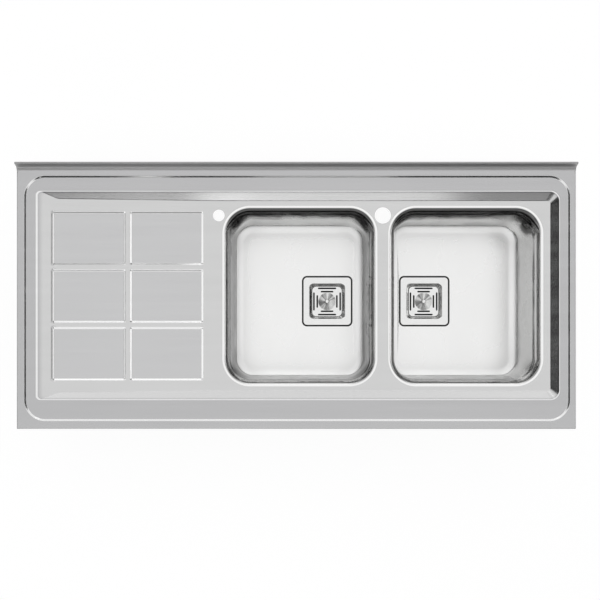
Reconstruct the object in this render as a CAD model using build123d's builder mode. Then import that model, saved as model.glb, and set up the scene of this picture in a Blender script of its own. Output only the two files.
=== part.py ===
"""Sit-on kitchen sink of pressed stainless steel: drainer on the left, two bowls on the right, and a
square strainer waste in each bowl.

Millimetres, +Z up, +X to the user's right, +Y towards the wall. The origin is the middle of the rear
seat strip, on the plane where the folded skirt rests on the cabinet.
"""

import os
from math import atan2, degrees, radians, sin, cos, tan

from build123d import *

# Sink top, folds
skirt_height = 36.0
sheet = 1.0
seat_width = 18.0
edge_radius = 1.5

# Upstand along the wall
upstand_height = 17.0
upstand_lean = 5.0
upstand_top = 4.0
upstand_top_radius = 1.8
cove_radius = 8.0

# Raised border: distance from each edge to the middle of the step
border_left = 18.0
border_right = 14.5
border_front = 19.0
border_rear = 28.6
border_corner = 43.0
rim_step = 2.0
step_run = 4.0

# Recess that holds the drainer and the bowls: distance from each edge of the sink top to its mouth
recess_left = 42.4
recess_right = 34.7
recess_front = 62.8
recess_rear = 59.7
recess_depth = 11.0
recess_left_run = 52.0
recess_right_run = 18.0
recess_side_run = 20.0
recess_left_corner = 9.0
recess_right_corner = 20.0
recess_edge_radius = 3.0

# Drainer: raised pads on a floor that falls towards the bowls
pad_length = 158.0
pad_gap = 9.5
pad_columns = 2
pad_rows = 3
pad_corner = 4.0
pad_height = 2.0
pad_edge_run = 2.6
pads_to_bowl = 41.0
pads_to_mouth = 31.2
pads_to_side = 21.75
drainer_fall = 2.2
fall_to_bowl = 24.0

# Bowls
bowl_length = 335.0
bowl_width = 390.0
bowl_corner = 60.0
bowl_depth = 175.0
bowl_partition = 23.3
bowl_to_recess = 13.9
bowl_to_side = 8.75
bowl_shift = 0.6
bowl_draft = 3.0
bowl_floor_radius = 16.0
bowl_rim_radius = 13.0
floor_fall = 3.0
floor_margin = 1.5
weld_gap = 0.1

# Holes in the recess floor
tap_hole = 35.0
accessory_hole = 25.0
holes_to_recess = 50.2
accessory_to_bowl = 7.7

# Strainer body, pressed square cup
flange = 113.0
flange_corner = 8.0
strainer_sheet = 1.0
flange_gap = 0.8
waste_opening = 88.0
waste_opening_corner = 12.0
cup_opening = 82.0
cup_corner = 10.0
cup_ledge = 71.0
cup_depth = 12.0
well = 66.0
well_corner = 8.0
well_depth = 26.0
outlet = 42.0
apron = 119.0
apron_corner = 12.0
apron_to_foot = 4.15

# Gaskets
flange_seal_thickness = 1.0
flange_seal_width = 9.0
flange_seal_inset = 1.0
under_seal_thickness = 2.0
under_seal_width = 10.0

# Strainer tray
tray_sheet = 1.0
tray_clearance = 0.5
slot_width = 2.6
outer_slot = 43.0
outer_slot_place = 31.0
inner_slot = 30.0
inner_slot_place = 23.2
dish_diameter = 39.0
dish_depth = 3.0

# Plug: knob on a stem, seal at the foot
stem_diameter = 6.0
stem_foot = 4.8
stem_clearance = 0.25
knob_diameter = 10.5
knob_height = 5.5
knob_gap = 3.0
collar_diameter = 18.0
collar_height = 2.0
plug_seal_diameter = 50.0
plug_seal_thickness = 4.0
plug_nut_diameter = 14.0
plug_nut_height = 3.0
clip_diameter = 11.0
clip_thickness = 1.0
plug_lift = 9.0
part_gap = 0.1

# Waste body under the bowl
collar_plate = 112.0
collar_plate_corner = 14.0
collar_plate_thickness = 4.0
waste_wall = 4.0
waste_floor = 17.0
socket_clearance = 0.5
funnel_top = 54.0
spigot_diameter = 47.8
spigot_bore = 40.0
spigot_length = 28.0
spigot_chamfer = 1.0
screw_spread = 52.0
screw_diameter = 4.0
screw_length = 14.0
screw_head = 8.0
screw_head_height = 2.4
screw_cross = 4.4
screw_cross_width = 1.0
screw_clearance = 0.2

# Stiffening rails, inverted channels bonded under the deck
rail_sheet = 1.2
rail_lift = 5.0
rail_margin = 3.0
drainer_rail_width = 10.0
bond_gap = 0.2

# Sound-deadening pads
deadener = 2.5
deadener_margin = 12.0
end_deadener = 99.0

# Fixing brackets on the side seats
bracket_sheet = 1.5
bracket_width = 30.0
bracket_drop = 46.0
bracket_spacing = 330.0
bracket_panel_gap = 1.0
bracket_slot = 14.0
bracket_slot_width = 5.5
bracket_slot_drop = 28.0
bracket_corner = 4.0

# Sink top's length and depth: drainer and bowls side by side, the recess round them and the border
pads_length = pad_columns * pad_length + (pad_columns - 1) * pad_gap
bowls_length = 2 * bowl_length + bowl_partition
recess_length = pads_to_mouth + pads_length + pads_to_bowl + bowls_length + bowl_to_recess + recess_right_run
floor_width = bowl_width + 2 * bowl_to_side
recess_width = floor_width + 2 * recess_side_run
pad_width = (floor_width - 2 * pads_to_side - (pad_rows - 1) * pad_gap) / pad_rows
length = recess_left + recess_length + recess_right
depth = recess_front + recess_width + recess_rear

# Levels and lines that follow from the sizes above
rear_y = seat_width / 2
front_y = rear_y - depth
middle_y = (rear_y + front_y) / 2
left_x = -length / 2
right_x = length / 2
border_z = skirt_height
deck_z = border_z - rim_step
floor_z = deck_z - recess_depth
recess_x = (left_x + recess_left, left_x + recess_left + recess_length)
recess_y = (front_y + recess_front, front_y + recess_front + recess_width)
bowl_y = sum(recess_y) / 2 - bowl_shift
bowl_floor_z = floor_z - bowl_depth
drain_z = bowl_floor_z - floor_fall
seat_drop = flange_seal_thickness + strainer_sheet
seat_z = drain_z - seat_drop
ledge_z = drain_z - cup_depth
well_z = ledge_z - well_depth
right_bowl_x = recess_x[1] - recess_right_run - bowl_to_recess - bowl_length / 2
left_bowl_x = right_bowl_x - bowl_length - bowl_partition
bowl_left_edge = left_bowl_x - bowl_length / 2
fall_end_x = bowl_left_edge - fall_to_bowl
left_foot_x = recess_x[0] + recess_left_run
fall_angle = atan2(drainer_fall, fall_end_x - left_foot_x)
pads_right_x = bowl_left_edge - pads_to_bowl
hole_y = recess_y[1] - holes_to_recess
tap_x = (left_bowl_x + right_bowl_x) / 2
accessory_x = bowl_left_edge - accessory_to_bowl
draft_inset = bowl_depth * tan(radians(bowl_draft))
foot_inset = bowl_rim_radius + draft_inset + bowl_floor_radius * tan(radians(45 - bowl_draft / 2))
fall_inset = foot_inset + floor_margin
drain_offset = bowl_length / 2 - fall_inset - apron_to_foot - apron / 2
bowls = {
    "left": (left_bowl_x, left_bowl_x + drain_offset),
    "right": (right_bowl_x, right_bowl_x - drain_offset),
}

os.makedirs("parts", exist_ok=True)


def save(part, name):
    """Labels a finished piece and writes it as its own STEP file."""
    part.label = name
    export_step(part, f"parts/{name}.step")


def corner_outline(plane, x_span, y_span, left_corner, right_corner):
    """A rectangle on a plane, with one radius on its two left corners and another on its right ones."""
    with BuildSketch(plane) as outline:
        with Locations((sum(x_span) / 2, sum(y_span) / 2)):
            Rectangle(x_span[1] - x_span[0], y_span[1] - y_span[0])
        fillet(outline.vertices().group_by(Axis.X)[0], left_corner)
        fillet(outline.vertices().group_by(Axis.X)[-1], right_corner)
    return outline.sketch.face()


# Space pressed into the deck: the step inside the border, the recess, and the drainer's raised pads
def step_outline(z, inward):
    """The border's step, inward of its middle line by the given distance."""
    x_span = (left_x + border_left + inward, right_x - border_right - inward)
    y_span = (front_y + border_front + inward, rear_y - border_rear - inward)
    return corner_outline(Plane.XY.offset(z), x_span, y_span, border_corner - inward, border_corner - inward)


drainer_plane = Plane(
    origin=(fall_end_x, bowl_y, floor_z),
    x_dir=(cos(fall_angle), 0, -sin(fall_angle)),
    z_dir=(sin(fall_angle), 0, cos(fall_angle)),
)
pads_centre = pads_right_x - pads_length / 2 - fall_end_x
pad_grid = (pad_length + pad_gap, pad_width + pad_gap, pad_columns, pad_rows)

floor_x = (left_foot_x, recess_x[1] - recess_right_run)
floor_y = (recess_y[0] + recess_side_run, recess_y[1] - recess_side_run)
recess_corners = (recess_left_corner, recess_right_corner)
floor_corners = (recess_left_corner / 2, recess_right_corner / 2)
recess_mouth = corner_outline(Plane.XY.offset(deck_z), recess_x, recess_y, *recess_corners)
recess_floor = corner_outline(Plane.XY.offset(floor_z), floor_x, floor_y, *floor_corners)

with BuildPart() as pressing:
    loft([step_outline(border_z, -step_run / 2), step_outline(deck_z, step_run / 2)], ruled=True)
    loft([recess_mouth, recess_floor], ruled=True)
    with BuildSketch(Plane.XZ.offset(-recess_y[1])):
        rise = (fall_end_x - recess_x[0]) * tan(fall_angle)
        with BuildLine():
            Polyline((recess_x[0], floor_z), (fall_end_x, floor_z), (recess_x[0], floor_z + rise), close=True)
        make_face()
    extrude(amount=recess_width, mode=Mode.SUBTRACT)
    with BuildSketch(drainer_plane) as pad_feet:
        with Locations((pads_centre, 0)):
            with GridLocations(*pad_grid):
                RectangleRounded(pad_length, pad_width, pad_corner)
    extrude(amount=pad_height, taper=degrees(atan2(pad_edge_run, pad_height)), mode=Mode.SUBTRACT)
under_pressing = pressing.part.moved(Location((0, 0, -sheet)))


# Deck: border, skirt with its return flange, upstand, recess floor
def deck_section(inset):
    """The sink top's cross-section across Y, drawn inset from the outside by one thickness."""
    plane = Plane.YZ.offset(left_x + inset)
    with BuildSketch(plane) as section:
        with BuildLine():
            Polyline(
                (front_y, 0),
                (front_y, border_z),
                (rear_y - upstand_top - upstand_lean, border_z),
                (rear_y - upstand_top, border_z + upstand_height),
                (rear_y, border_z + upstand_height),
                (rear_y, 0),
                close=True,
            )
        make_face()
        corners = section.vertices()
        cove, front_edge = corners.sort_by(Axis.X)[2], corners.group_by(Axis.X)[0].sort_by(Axis.Y)[-1]
        top_fold = corners.group_by(Axis.Y)[-1]
        fillet(cove, cove_radius)
        fillet(front_edge, edge_radius)
        fillet(top_fold, upstand_top_radius)
        if inset:
            offset(amount=-inset, kind=Kind.INTERSECTION, mode=Mode.REPLACE)
    return section.sketch.face()


with BuildPart() as deck_hollow:
    extrude(deck_section(sheet), amount=length - 2 * sheet)

with BuildPart() as deck:
    extrude(deck_section(0), amount=length)
    add(deck_hollow.part, mode=Mode.SUBTRACT)
    with BuildSketch(Plane.XY.offset(0)):
        with Locations((0, middle_y)):
            Rectangle(length - 2 * seat_width, depth - 2 * seat_width)
    extrude(amount=sheet, mode=Mode.SUBTRACT)
    add(under_pressing)
    add(pressing.part, mode=Mode.SUBTRACT)
    with BuildSketch(Plane.XY.offset(deck_z)):
        for bowl_x, _ in bowls.values():
            with Locations((bowl_x, bowl_y)):
                RectangleRounded(bowl_length, bowl_width, bowl_corner)
        with Locations((tap_x, hole_y)):
            Circle(tap_hole / 2)
        with Locations((accessory_x, hole_y)):
            Circle(accessory_hole / 2)
    extrude(amount=-(recess_depth + 2 * sheet), mode=Mode.SUBTRACT)
    mouth_edges = deck.edges().filter_by_position(Axis.Z, deck_z - sheet / 4, deck_z + sheet / 4)
    mouth_edges = mouth_edges.filter_by_position(Axis.X, recess_x[0] - sheet, recess_x[1] + sheet)
    mouth_edges = mouth_edges.filter_by_position(Axis.Y, recess_y[0] - sheet, recess_y[1] + sheet)
    fillet(mouth_edges, recess_edge_radius)
save(deck.part, "deck")


# Bowls: drawn sheet with a rolled rim, a floor that falls to the waste and a pressed seat for the flange
def square(plane, side, corner):
    """A square with rounded corners on a plane."""
    with BuildSketch(plane) as outline:
        RectangleRounded(side, side, corner)
    return outline.sketch.face()


def bowl_outline(bowl_x, z, inset):
    """The bowl's plan outline at a level, inset from the rim's outline."""
    with BuildSketch(Plane((bowl_x, bowl_y, z))) as outline:
        RectangleRounded(bowl_length - 2 * inset, bowl_width - 2 * inset, bowl_corner - inset)
    return outline.sketch.face()


def bowl_space(bowl_x, drain_x, wall):
    """The bowl's inside, or with a wall its outside: tapered walls, rounded foot, falling floor, seat."""
    low_z = bowl_floor_z - wall
    drain_plane = Plane((drain_x, bowl_y, drain_z - wall))
    with BuildPart() as space:
        mouth = bowl_outline(bowl_x, floor_z, bowl_rim_radius - wall)
        loft([mouth, bowl_outline(bowl_x, low_z, bowl_rim_radius + draft_inset - wall)], ruled=True)
        fillet(space.faces().sort_by(Axis.Z)[0].edges(), bowl_floor_radius + wall)
        loft([bowl_outline(bowl_x, low_z, fall_inset), square(drain_plane, apron, apron_corner)], ruled=True)
        seat_side = flange + 2 * (flange_gap + wall)
        extrude(square(drain_plane, seat_side, flange_corner + flange_gap + wall), amount=-seat_drop)
    return space.part


bowl_outsides = {}
for side, (bowl_x, drain_x) in bowls.items():
    bowl_outsides[side] = bowl_space(bowl_x, drain_x, sheet)
    with BuildPart() as bowl:
        add(bowl_outsides[side])
        extrude(bowl_outline(bowl_x, floor_z, weld_gap), amount=-sheet)
        add(bowl_space(bowl_x, drain_x, 0), mode=Mode.SUBTRACT)
        rim_faces = bowl.faces().filter_by(Axis.Z).sort_by(Axis.Z)
        fillet(rim_faces[-2].inner_wires()[0].edges(), bowl_rim_radius - sheet)
        fillet(bowl.faces().sort_by(Axis.Z)[-1].inner_wires()[0].edges(), bowl_rim_radius)
        opening = square(Plane((drain_x, bowl_y, seat_z - 2 * sheet)), waste_opening, waste_opening_corner)
        extrude(opening, amount=3 * sheet, mode=Mode.SUBTRACT)
    save(bowl.part, f"{side}_bowl")


# Strainer bodies: flange on the bowl's seat, sloping cup, ledge for the tray, and well with the outlet
def strainer_points():
    """The four clamping screws' places around the outlet."""
    return GridLocations(screw_spread, screw_spread, 2, 2)


for side, (_, drain_x) in bowls.items():

    def level(z):
        """A horizontal plane on this waste's axis."""
        return Plane((drain_x, bowl_y, z))

    flange_foot = drain_z - strainer_sheet
    with BuildPart() as strainer_body:
        extrude(square(level(flange_foot), flange, flange_corner), amount=strainer_sheet)
        cup_top = square(level(drain_z), cup_opening + 2 * strainer_sheet, cup_corner + strainer_sheet)
        cup_foot = square(level(ledge_z - strainer_sheet), cup_ledge + 2 * strainer_sheet, cup_corner)
        loft([cup_top, cup_foot], ruled=True)
        well_out = well + 2 * strainer_sheet
        well_foot = level(well_z - strainer_sheet)
        extrude(square(well_foot, well_out, well_corner + strainer_sheet), amount=well_depth)
        cup_in = square(level(drain_z), cup_opening, cup_corner)
        loft([cup_in, square(level(ledge_z), cup_ledge, cup_corner)], ruled=True, mode=Mode.SUBTRACT)
        extrude(square(level(well_z), well, well_corner), amount=well_depth, mode=Mode.SUBTRACT)
        with BuildSketch(level(well_z)):
            Circle(outlet / 2)
            with strainer_points():
                Circle(screw_diameter / 2 + screw_clearance)
        extrude(amount=-strainer_sheet, mode=Mode.SUBTRACT)
        fillet(strainer_body.faces().sort_by(Axis.Z)[-1].outer_wire().edges(), strainer_sheet / 2)
    save(strainer_body.part, f"{side}_strainer_body")

    with BuildPart() as flange_seal:
        seal_out = flange - 2 * flange_seal_inset
        extrude(square(level(seat_z), seal_out, flange_corner), amount=flange_seal_thickness)
        seal_in = square(level(seat_z), seal_out - 2 * flange_seal_width, flange_corner)
        extrude(seal_in, amount=flange_seal_thickness, mode=Mode.SUBTRACT)
    save(flange_seal.part, f"{side}_flange_seal")

    # Waste body: collar plate and gasket under the bowl, socket for the well, funnel and threaded spigot
    collar_z = seat_z - sheet - under_seal_thickness
    socket_z = well_z - strainer_sheet
    waste_z = socket_z - waste_floor
    socket = well + 2 * (strainer_sheet + socket_clearance)
    cup_room = cup_opening + 2 * socket_clearance
    with BuildPart() as under_seal:
        extrude(square(level(collar_z), collar_plate, collar_plate_corner), amount=under_seal_thickness)
        under_in = square(level(collar_z), collar_plate - 2 * under_seal_width, waste_opening_corner)
        extrude(under_in, amount=under_seal_thickness, mode=Mode.SUBTRACT)
    save(under_seal.part, f"{side}_under_seal")

    with BuildPart() as waste_body:
        extrude(square(level(collar_z), collar_plate, collar_plate_corner), amount=-collar_plate_thickness)
        cup_shell_z = ledge_z - 2 * strainer_sheet
        shell_top = square(level(collar_z), cup_room + 2 * waste_wall, cup_corner + waste_wall)
        extrude(shell_top, amount=cup_shell_z - waste_wall - collar_z)
        shell_low = square(level(waste_z), socket + 2 * waste_wall, well_corner + waste_wall)
        extrude(shell_low, amount=collar_z - waste_z)
        with BuildSketch(level(waste_z)):
            Circle(spigot_diameter / 2)
        extrude(amount=-spigot_length)
        cup_space = square(level(cup_shell_z), cup_room, cup_corner)
        extrude(cup_space, amount=collar_z - cup_shell_z, mode=Mode.SUBTRACT)
        well_space = square(level(socket_z), socket, well_corner)
        extrude(well_space, amount=collar_z - socket_z, mode=Mode.SUBTRACT)
        with BuildSketch(level(socket_z)) as funnel_mouth:
            Circle(funnel_top / 2)
        with BuildSketch(level(waste_z)) as funnel_foot:
            Circle(spigot_bore / 2)
        loft(ruled=True, mode=Mode.SUBTRACT)
        with BuildSketch(level(waste_z)):
            Circle(spigot_bore / 2)
        extrude(amount=-spigot_length, mode=Mode.SUBTRACT)
        with BuildSketch(level(socket_z)):
            with strainer_points():
                Circle(screw_diameter / 2 + part_gap)
        extrude(amount=-screw_length, mode=Mode.SUBTRACT)
        chamfer(waste_body.faces().sort_by(Axis.Z)[0].outer_wire().edges(), spigot_chamfer)
    save(waste_body.part, f"{side}_waste_body")

    with BuildPart() as strainer_screws:
        with BuildSketch(level(well_z)):
            with strainer_points():
                Circle(screw_head / 2)
        extrude(amount=screw_head_height)
        fillet(strainer_screws.faces().group_by(Axis.Z)[-1].edges(), screw_head_height / 3)
        with BuildSketch(level(well_z)):
            with strainer_points():
                Circle(screw_diameter / 2)
        extrude(amount=-screw_length)
        with BuildSketch(level(well_z + screw_head_height)):
            with strainer_points():
                Rectangle(screw_cross, screw_cross_width)
                Rectangle(screw_cross_width, screw_cross)
        extrude(amount=-screw_head_height / 2, mode=Mode.SUBTRACT)
    save(strainer_screws.part, f"{side}_strainer_screws")

    # Strainer tray: slotted plate on the cup's ledge, with a round dish that the stem passes through
    tray = cup_ledge - 2 * tray_clearance
    tray_top = ledge_z + tray_sheet
    dish_radius = dish_diameter**2 / 8 / dish_depth + dish_depth / 2
    with BuildPart() as dish:
        with BuildSketch(Plane((drain_x, bowl_y, tray_top), x_dir=(1, 0, 0), z_dir=(0, -1, 0))):
            with BuildLine():
                RadiusArc((dish_diameter / 2, 0), (0, -dish_depth), dish_radius)
                Polyline((0, -dish_depth), (0, 0), (dish_diameter / 2, 0))
            make_face()
        revolve(axis=Axis((drain_x, bowl_y, 0), (0, 0, 1)))
    with BuildPart() as strainer_tray:
        extrude(square(level(ledge_z), tray, cup_corner - tray_clearance), amount=tray_sheet)
        add(dish.part.moved(Location((0, 0, -tray_sheet))))
        add(dish.part, mode=Mode.SUBTRACT)
        with BuildSketch(level(ledge_z)):
            with PolarLocations(outer_slot_place, 4):
                SlotOverall(outer_slot, slot_width, rotation=90)
            with PolarLocations(inner_slot_place, 4):
                SlotOverall(inner_slot, slot_width, rotation=90)
        extrude(amount=tray_sheet, mode=Mode.SUBTRACT)
        with BuildSketch(level(tray_top)):
            Circle(stem_diameter / 2 + stem_clearance)
        extrude(amount=-2 * (dish_depth + tray_sheet), mode=Mode.SUBTRACT)
    save(strainer_tray.part, f"{side}_strainer_tray")

    # Plug: knob and stem in one, seal with its nut below, clip under the tray
    knob_z = tray_top - dish_depth + knob_gap
    seal_top = well_z + plug_seal_thickness
    clip_z = tray_top - dish_depth - tray_sheet - plug_lift - stem_clearance
    with BuildPart() as plug_stem:
        with BuildSketch(level(well_z - plug_nut_height)):
            Circle(stem_foot / 2)
        extrude(amount=seal_top - well_z + plug_nut_height)
        with BuildSketch(level(seal_top)):
            Circle(collar_diameter / 2)
        extrude(amount=collar_height)
        with BuildSketch(level(seal_top)):
            Circle(stem_diameter / 2)
        extrude(amount=knob_z - seal_top)
        with BuildSketch(level(knob_z)):
            Circle(knob_diameter / 2)
        extrude(amount=knob_height)
        fillet(plug_stem.faces().sort_by(Axis.Z)[-1].edges(), knob_height * 0.6)
    save(plug_stem.part, f"{side}_plug_stem")

    with BuildPart() as plug_seal:
        with BuildSketch(level(well_z)):
            Circle(plug_seal_diameter / 2)
            Circle(stem_foot / 2 + part_gap, mode=Mode.SUBTRACT)
        extrude(amount=plug_seal_thickness)
        chamfer(plug_seal.faces().sort_by(Axis.Z)[-1].outer_wire().edges(), plug_seal_thickness / 3)
    save(plug_seal.part, f"{side}_plug_seal")

    with BuildPart() as plug_nut:
        with BuildSketch(level(well_z)):
            RegularPolygon(plug_nut_diameter / 2, 6)
            Circle(stem_foot / 2 + part_gap, mode=Mode.SUBTRACT)
        extrude(amount=-plug_nut_height)
    save(plug_nut.part, f"{side}_plug_nut")

    with BuildPart() as plug_clip:
        with BuildSketch(level(clip_z)):
            Circle(clip_diameter / 2)
            Circle(stem_diameter / 2 + part_gap, mode=Mode.SUBTRACT)
        extrude(amount=-clip_thickness)
    save(plug_clip.part, f"{side}_plug_clip")

    # Sound-deadening pads under the bowl's floor, one beside the waste and one on each end of it
    with BuildPart() as bowl_deadeners:
        add(bowl_outsides[side].moved(Location((0, 0, -deadener))))
        add(bowl_outsides[side], mode=Mode.SUBTRACT)
        towards = 1 if drain_x > bowls[side][0] else -1
        waste_edge = drain_x - towards * (apron / 2 + deadener_margin)
        far_edge = bowls[side][0] - towards * (bowl_length / 2 - fall_inset - deadener_margin)
        long_side = bowl_width - 2 * (fall_inset + deadener_margin)
        short_side = (long_side - apron) / 2 - deadener_margin
        with BuildSketch(Plane.XY.offset(drain_z - 2 * deadener - sheet)):
            with Locations(((waste_edge + far_edge) / 2, bowl_y)):
                Rectangle(abs(waste_edge - far_edge), long_side)
            for end in (-1, 1):
                with Locations((drain_x, bowl_y + end * (long_side - short_side) / 2)):
                    Rectangle(end_deadener, short_side)
        extrude(amount=floor_fall + 2 * deadener + sheet, mode=Mode.INTERSECT)
    save(bowl_deadeners.part, f"{side}_bowl_deadeners")


# Sound-deadening pads under the drainer's raised pads
with BuildPart() as drainer_deadeners:
    add(under_pressing.moved(Location((0, 0, -deadener))))
    add(under_pressing, mode=Mode.SUBTRACT)
    with BuildSketch(Plane.XY.offset(floor_z - 4 * deadener)):
        with Locations((pads_right_x - pads_length / 2, bowl_y)):
            with GridLocations(*pad_grid):
                Rectangle(pad_length - 4 * deadener_margin, pad_width - 2 * deadener_margin)
    extrude(amount=recess_depth + 4 * deadener, mode=Mode.INTERSECT)
save(drainer_deadeners.part, "drainer_deadeners")


# Stiffening rails
def rail(x_span, y_span, top_z, along):
    """An inverted channel between two spans, with its open side down and its ends open."""
    size = (x_span[1] - x_span[0], y_span[1] - y_span[0], top_z - rail_lift)
    centre = Location((sum(x_span) / 2, sum(y_span) / 2, rail_lift))
    room = [size[0] - 2 * rail_sheet, size[1] - 2 * rail_sheet, size[2] - rail_sheet]
    room[along] = size[along]
    with BuildPart() as channel:
        with Locations(centre):
            Box(*size, align=(Align.CENTER, Align.CENTER, Align.MIN))
            Box(*room, align=(Align.CENTER, Align.CENTER, Align.MIN), mode=Mode.SUBTRACT)
    return channel.part


rail_top = deck_z - sheet
inner_left = left_x + border_left + step_run / 2 + rail_margin
inner_right = right_x - border_right - step_run / 2 - rail_margin
inner_front = front_y + border_front + step_run / 2 + rail_margin
inner_rear = rear_y - border_rear - step_run / 2 - rail_margin
end_trim = border_corner
long_x = (inner_left + end_trim, inner_right - end_trim)
front_rail_y = (inner_front, recess_y[0] - rail_margin)
rear_rail_y = (recess_y[1] + rail_margin, inner_rear)
cross_y = (front_rail_y[1] + rail_margin, rear_rail_y[0] - rail_margin)
save(rail(long_x, front_rail_y, rail_top, 0), "front_rail")
save(rail(long_x, rear_rail_y, rail_top, 0), "rear_rail")
save(rail((inner_left, recess_x[0] - rail_margin), cross_y, rail_top, 1), "left_rail")
save(rail((recess_x[1] + rail_margin, inner_right), cross_y, rail_top, 1), "right_rail")
gully_x = pads_right_x - pad_length - pad_gap / 2
gully_z = floor_z + (fall_end_x - gully_x - drainer_rail_width / 2) * tan(fall_angle)
drainer_rail_x = (gully_x - drainer_rail_width / 2, gully_x + drainer_rail_width / 2)
drainer_rail_y = (floor_y[0] + rail_margin, floor_y[1] - rail_margin)
save(rail(drainer_rail_x, drainer_rail_y, gully_z - sheet - bond_gap, 1), "drainer_rail")


# Fixing brackets: angles on the side seats, slotted for a screw into the cabinet's side
with BuildPart() as fixing_brackets:
    for end in (-1, 1):
        panel_x = length / 2 - seat_width - bracket_panel_gap
        with BuildSketch(Plane.XZ.offset(-middle_y)) as angle:
            with BuildLine():
                Polyline(
                    (end * (length / 2 - 2 * sheet), sheet),
                    (end * panel_x, sheet),
                    (end * panel_x, -bracket_drop),
                    (end * (panel_x - bracket_sheet), -bracket_drop),
                    (end * (panel_x - bracket_sheet), sheet + bracket_sheet),
                    (end * (length / 2 - 2 * sheet), sheet + bracket_sheet),
                    close=True,
                )
            make_face()
        profile = angle.sketch.face()
        for place in (-1, 1):
            start = Location((0, place * bracket_spacing / 2 + bracket_width / 2, 0))
            extrude(profile.moved(start), amount=bracket_width)
        slot_centre = (end * panel_x, middle_y, -bracket_slot_drop)
        with BuildSketch(Plane(slot_centre, x_dir=(0, 1, 0), z_dir=(1, 0, 0))):
            with GridLocations(bracket_spacing, 1, 2, 1):
                SlotOverall(bracket_slot, bracket_slot_width)
        extrude(amount=2 * bracket_sheet, both=True, mode=Mode.SUBTRACT)
    leg_ends = fixing_brackets.edges().filter_by(Axis.X).group_by(Axis.Z)[0]
    fillet(leg_ends, bracket_corner)
save(fixing_brackets.part, "fixing_brackets")
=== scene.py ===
"""Two-bowl kitchen sink of pressed stainless steel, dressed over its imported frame.

Sizes are in metres in the frame of the part: +X to the user's right, +Y towards the wall, +Z up, with the
origin in the middle of the rear seat strip.
"""

from math import pi, radians, tan

import bmesh
import bpy
import numpy as np
from bpy.props import FloatProperty, FloatVectorProperty, PointerProperty
from bpy.types import Operator, Panel, PropertyGroup
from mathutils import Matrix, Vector
from mathutils.geometry import delaunay_2d_cdt


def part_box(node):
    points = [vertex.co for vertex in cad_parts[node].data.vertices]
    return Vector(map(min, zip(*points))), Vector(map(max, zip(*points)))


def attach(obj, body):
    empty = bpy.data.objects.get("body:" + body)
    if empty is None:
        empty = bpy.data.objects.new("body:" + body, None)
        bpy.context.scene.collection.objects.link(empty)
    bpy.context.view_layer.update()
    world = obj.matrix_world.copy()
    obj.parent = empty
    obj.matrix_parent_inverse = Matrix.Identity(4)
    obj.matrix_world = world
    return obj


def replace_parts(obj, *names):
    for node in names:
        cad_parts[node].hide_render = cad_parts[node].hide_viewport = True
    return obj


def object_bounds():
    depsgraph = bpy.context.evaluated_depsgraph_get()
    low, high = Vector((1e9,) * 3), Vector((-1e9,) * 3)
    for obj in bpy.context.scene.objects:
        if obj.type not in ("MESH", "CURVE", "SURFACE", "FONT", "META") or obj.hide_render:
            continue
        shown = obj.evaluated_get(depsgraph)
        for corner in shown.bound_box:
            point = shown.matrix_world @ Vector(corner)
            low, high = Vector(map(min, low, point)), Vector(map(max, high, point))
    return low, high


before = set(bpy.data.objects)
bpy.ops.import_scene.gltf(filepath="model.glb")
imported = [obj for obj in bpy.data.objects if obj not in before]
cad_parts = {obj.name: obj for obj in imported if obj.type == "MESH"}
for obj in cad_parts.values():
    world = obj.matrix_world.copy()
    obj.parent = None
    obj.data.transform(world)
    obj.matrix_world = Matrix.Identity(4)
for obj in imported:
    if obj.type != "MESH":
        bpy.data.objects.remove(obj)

bl_info = {
    "name": "Two-bowl kitchen sink",
    "version": (1, 0, 0),
    "blender": (4, 5, 0),
    "location": "View3D > Sidebar > Sink",
    "description": "Pressed steel sink top with drainer, bowls, strainer wastes and fixings",
    "category": "Object",
}

MM = 0.001
CAD_BOX = [list(corner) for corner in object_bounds()]
SIDES = ("left", "right")
# Points nearer to each other than this are joined, and bends over this angle keep a hard edge
WELD, SHARP = 0.003 * MM, radians(40)
# Share of the recess wall's run, on each side of its mouth, given the glossier edge steel with its painted
# highlight
BRIGHT_EDGE_SHARE = 0.04
# Numbers of the finishes of the sink top, a bowl, a strainer cup and a tray
PLAIN, PAD, EDGE, UPSTAND = range(4)
WALL, GROOVE = range(2)
FLANGE, SLOPE, WELL = range(3)
PLATE, DISH = range(2)


def size(name, millimetres, description):
    """A length that a user can change, given in millimetres and kept in metres."""
    return FloatProperty(
        name=name,
        description=description,
        default=millimetres * MM,
        precision=4,
        unit="LENGTH",
        subtype="DISTANCE",
    )


def tint(name, colour, description):
    """A colour that a user can change."""
    return FloatVectorProperty(
        name=name, description=description, default=colour, min=0.0, max=1.0, size=3, subtype="COLOR"
    )


def share(name, value, description):
    """A number from 0 to 1 that a user can change."""
    return FloatProperty(
        name=name, description=description, default=value, min=0.0, max=1.0, subtype="FACTOR"
    )


def amount(name, value, description):
    """A number from 0 up that a user can change."""
    return FloatProperty(name=name, description=description, default=value, min=0.0)


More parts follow.
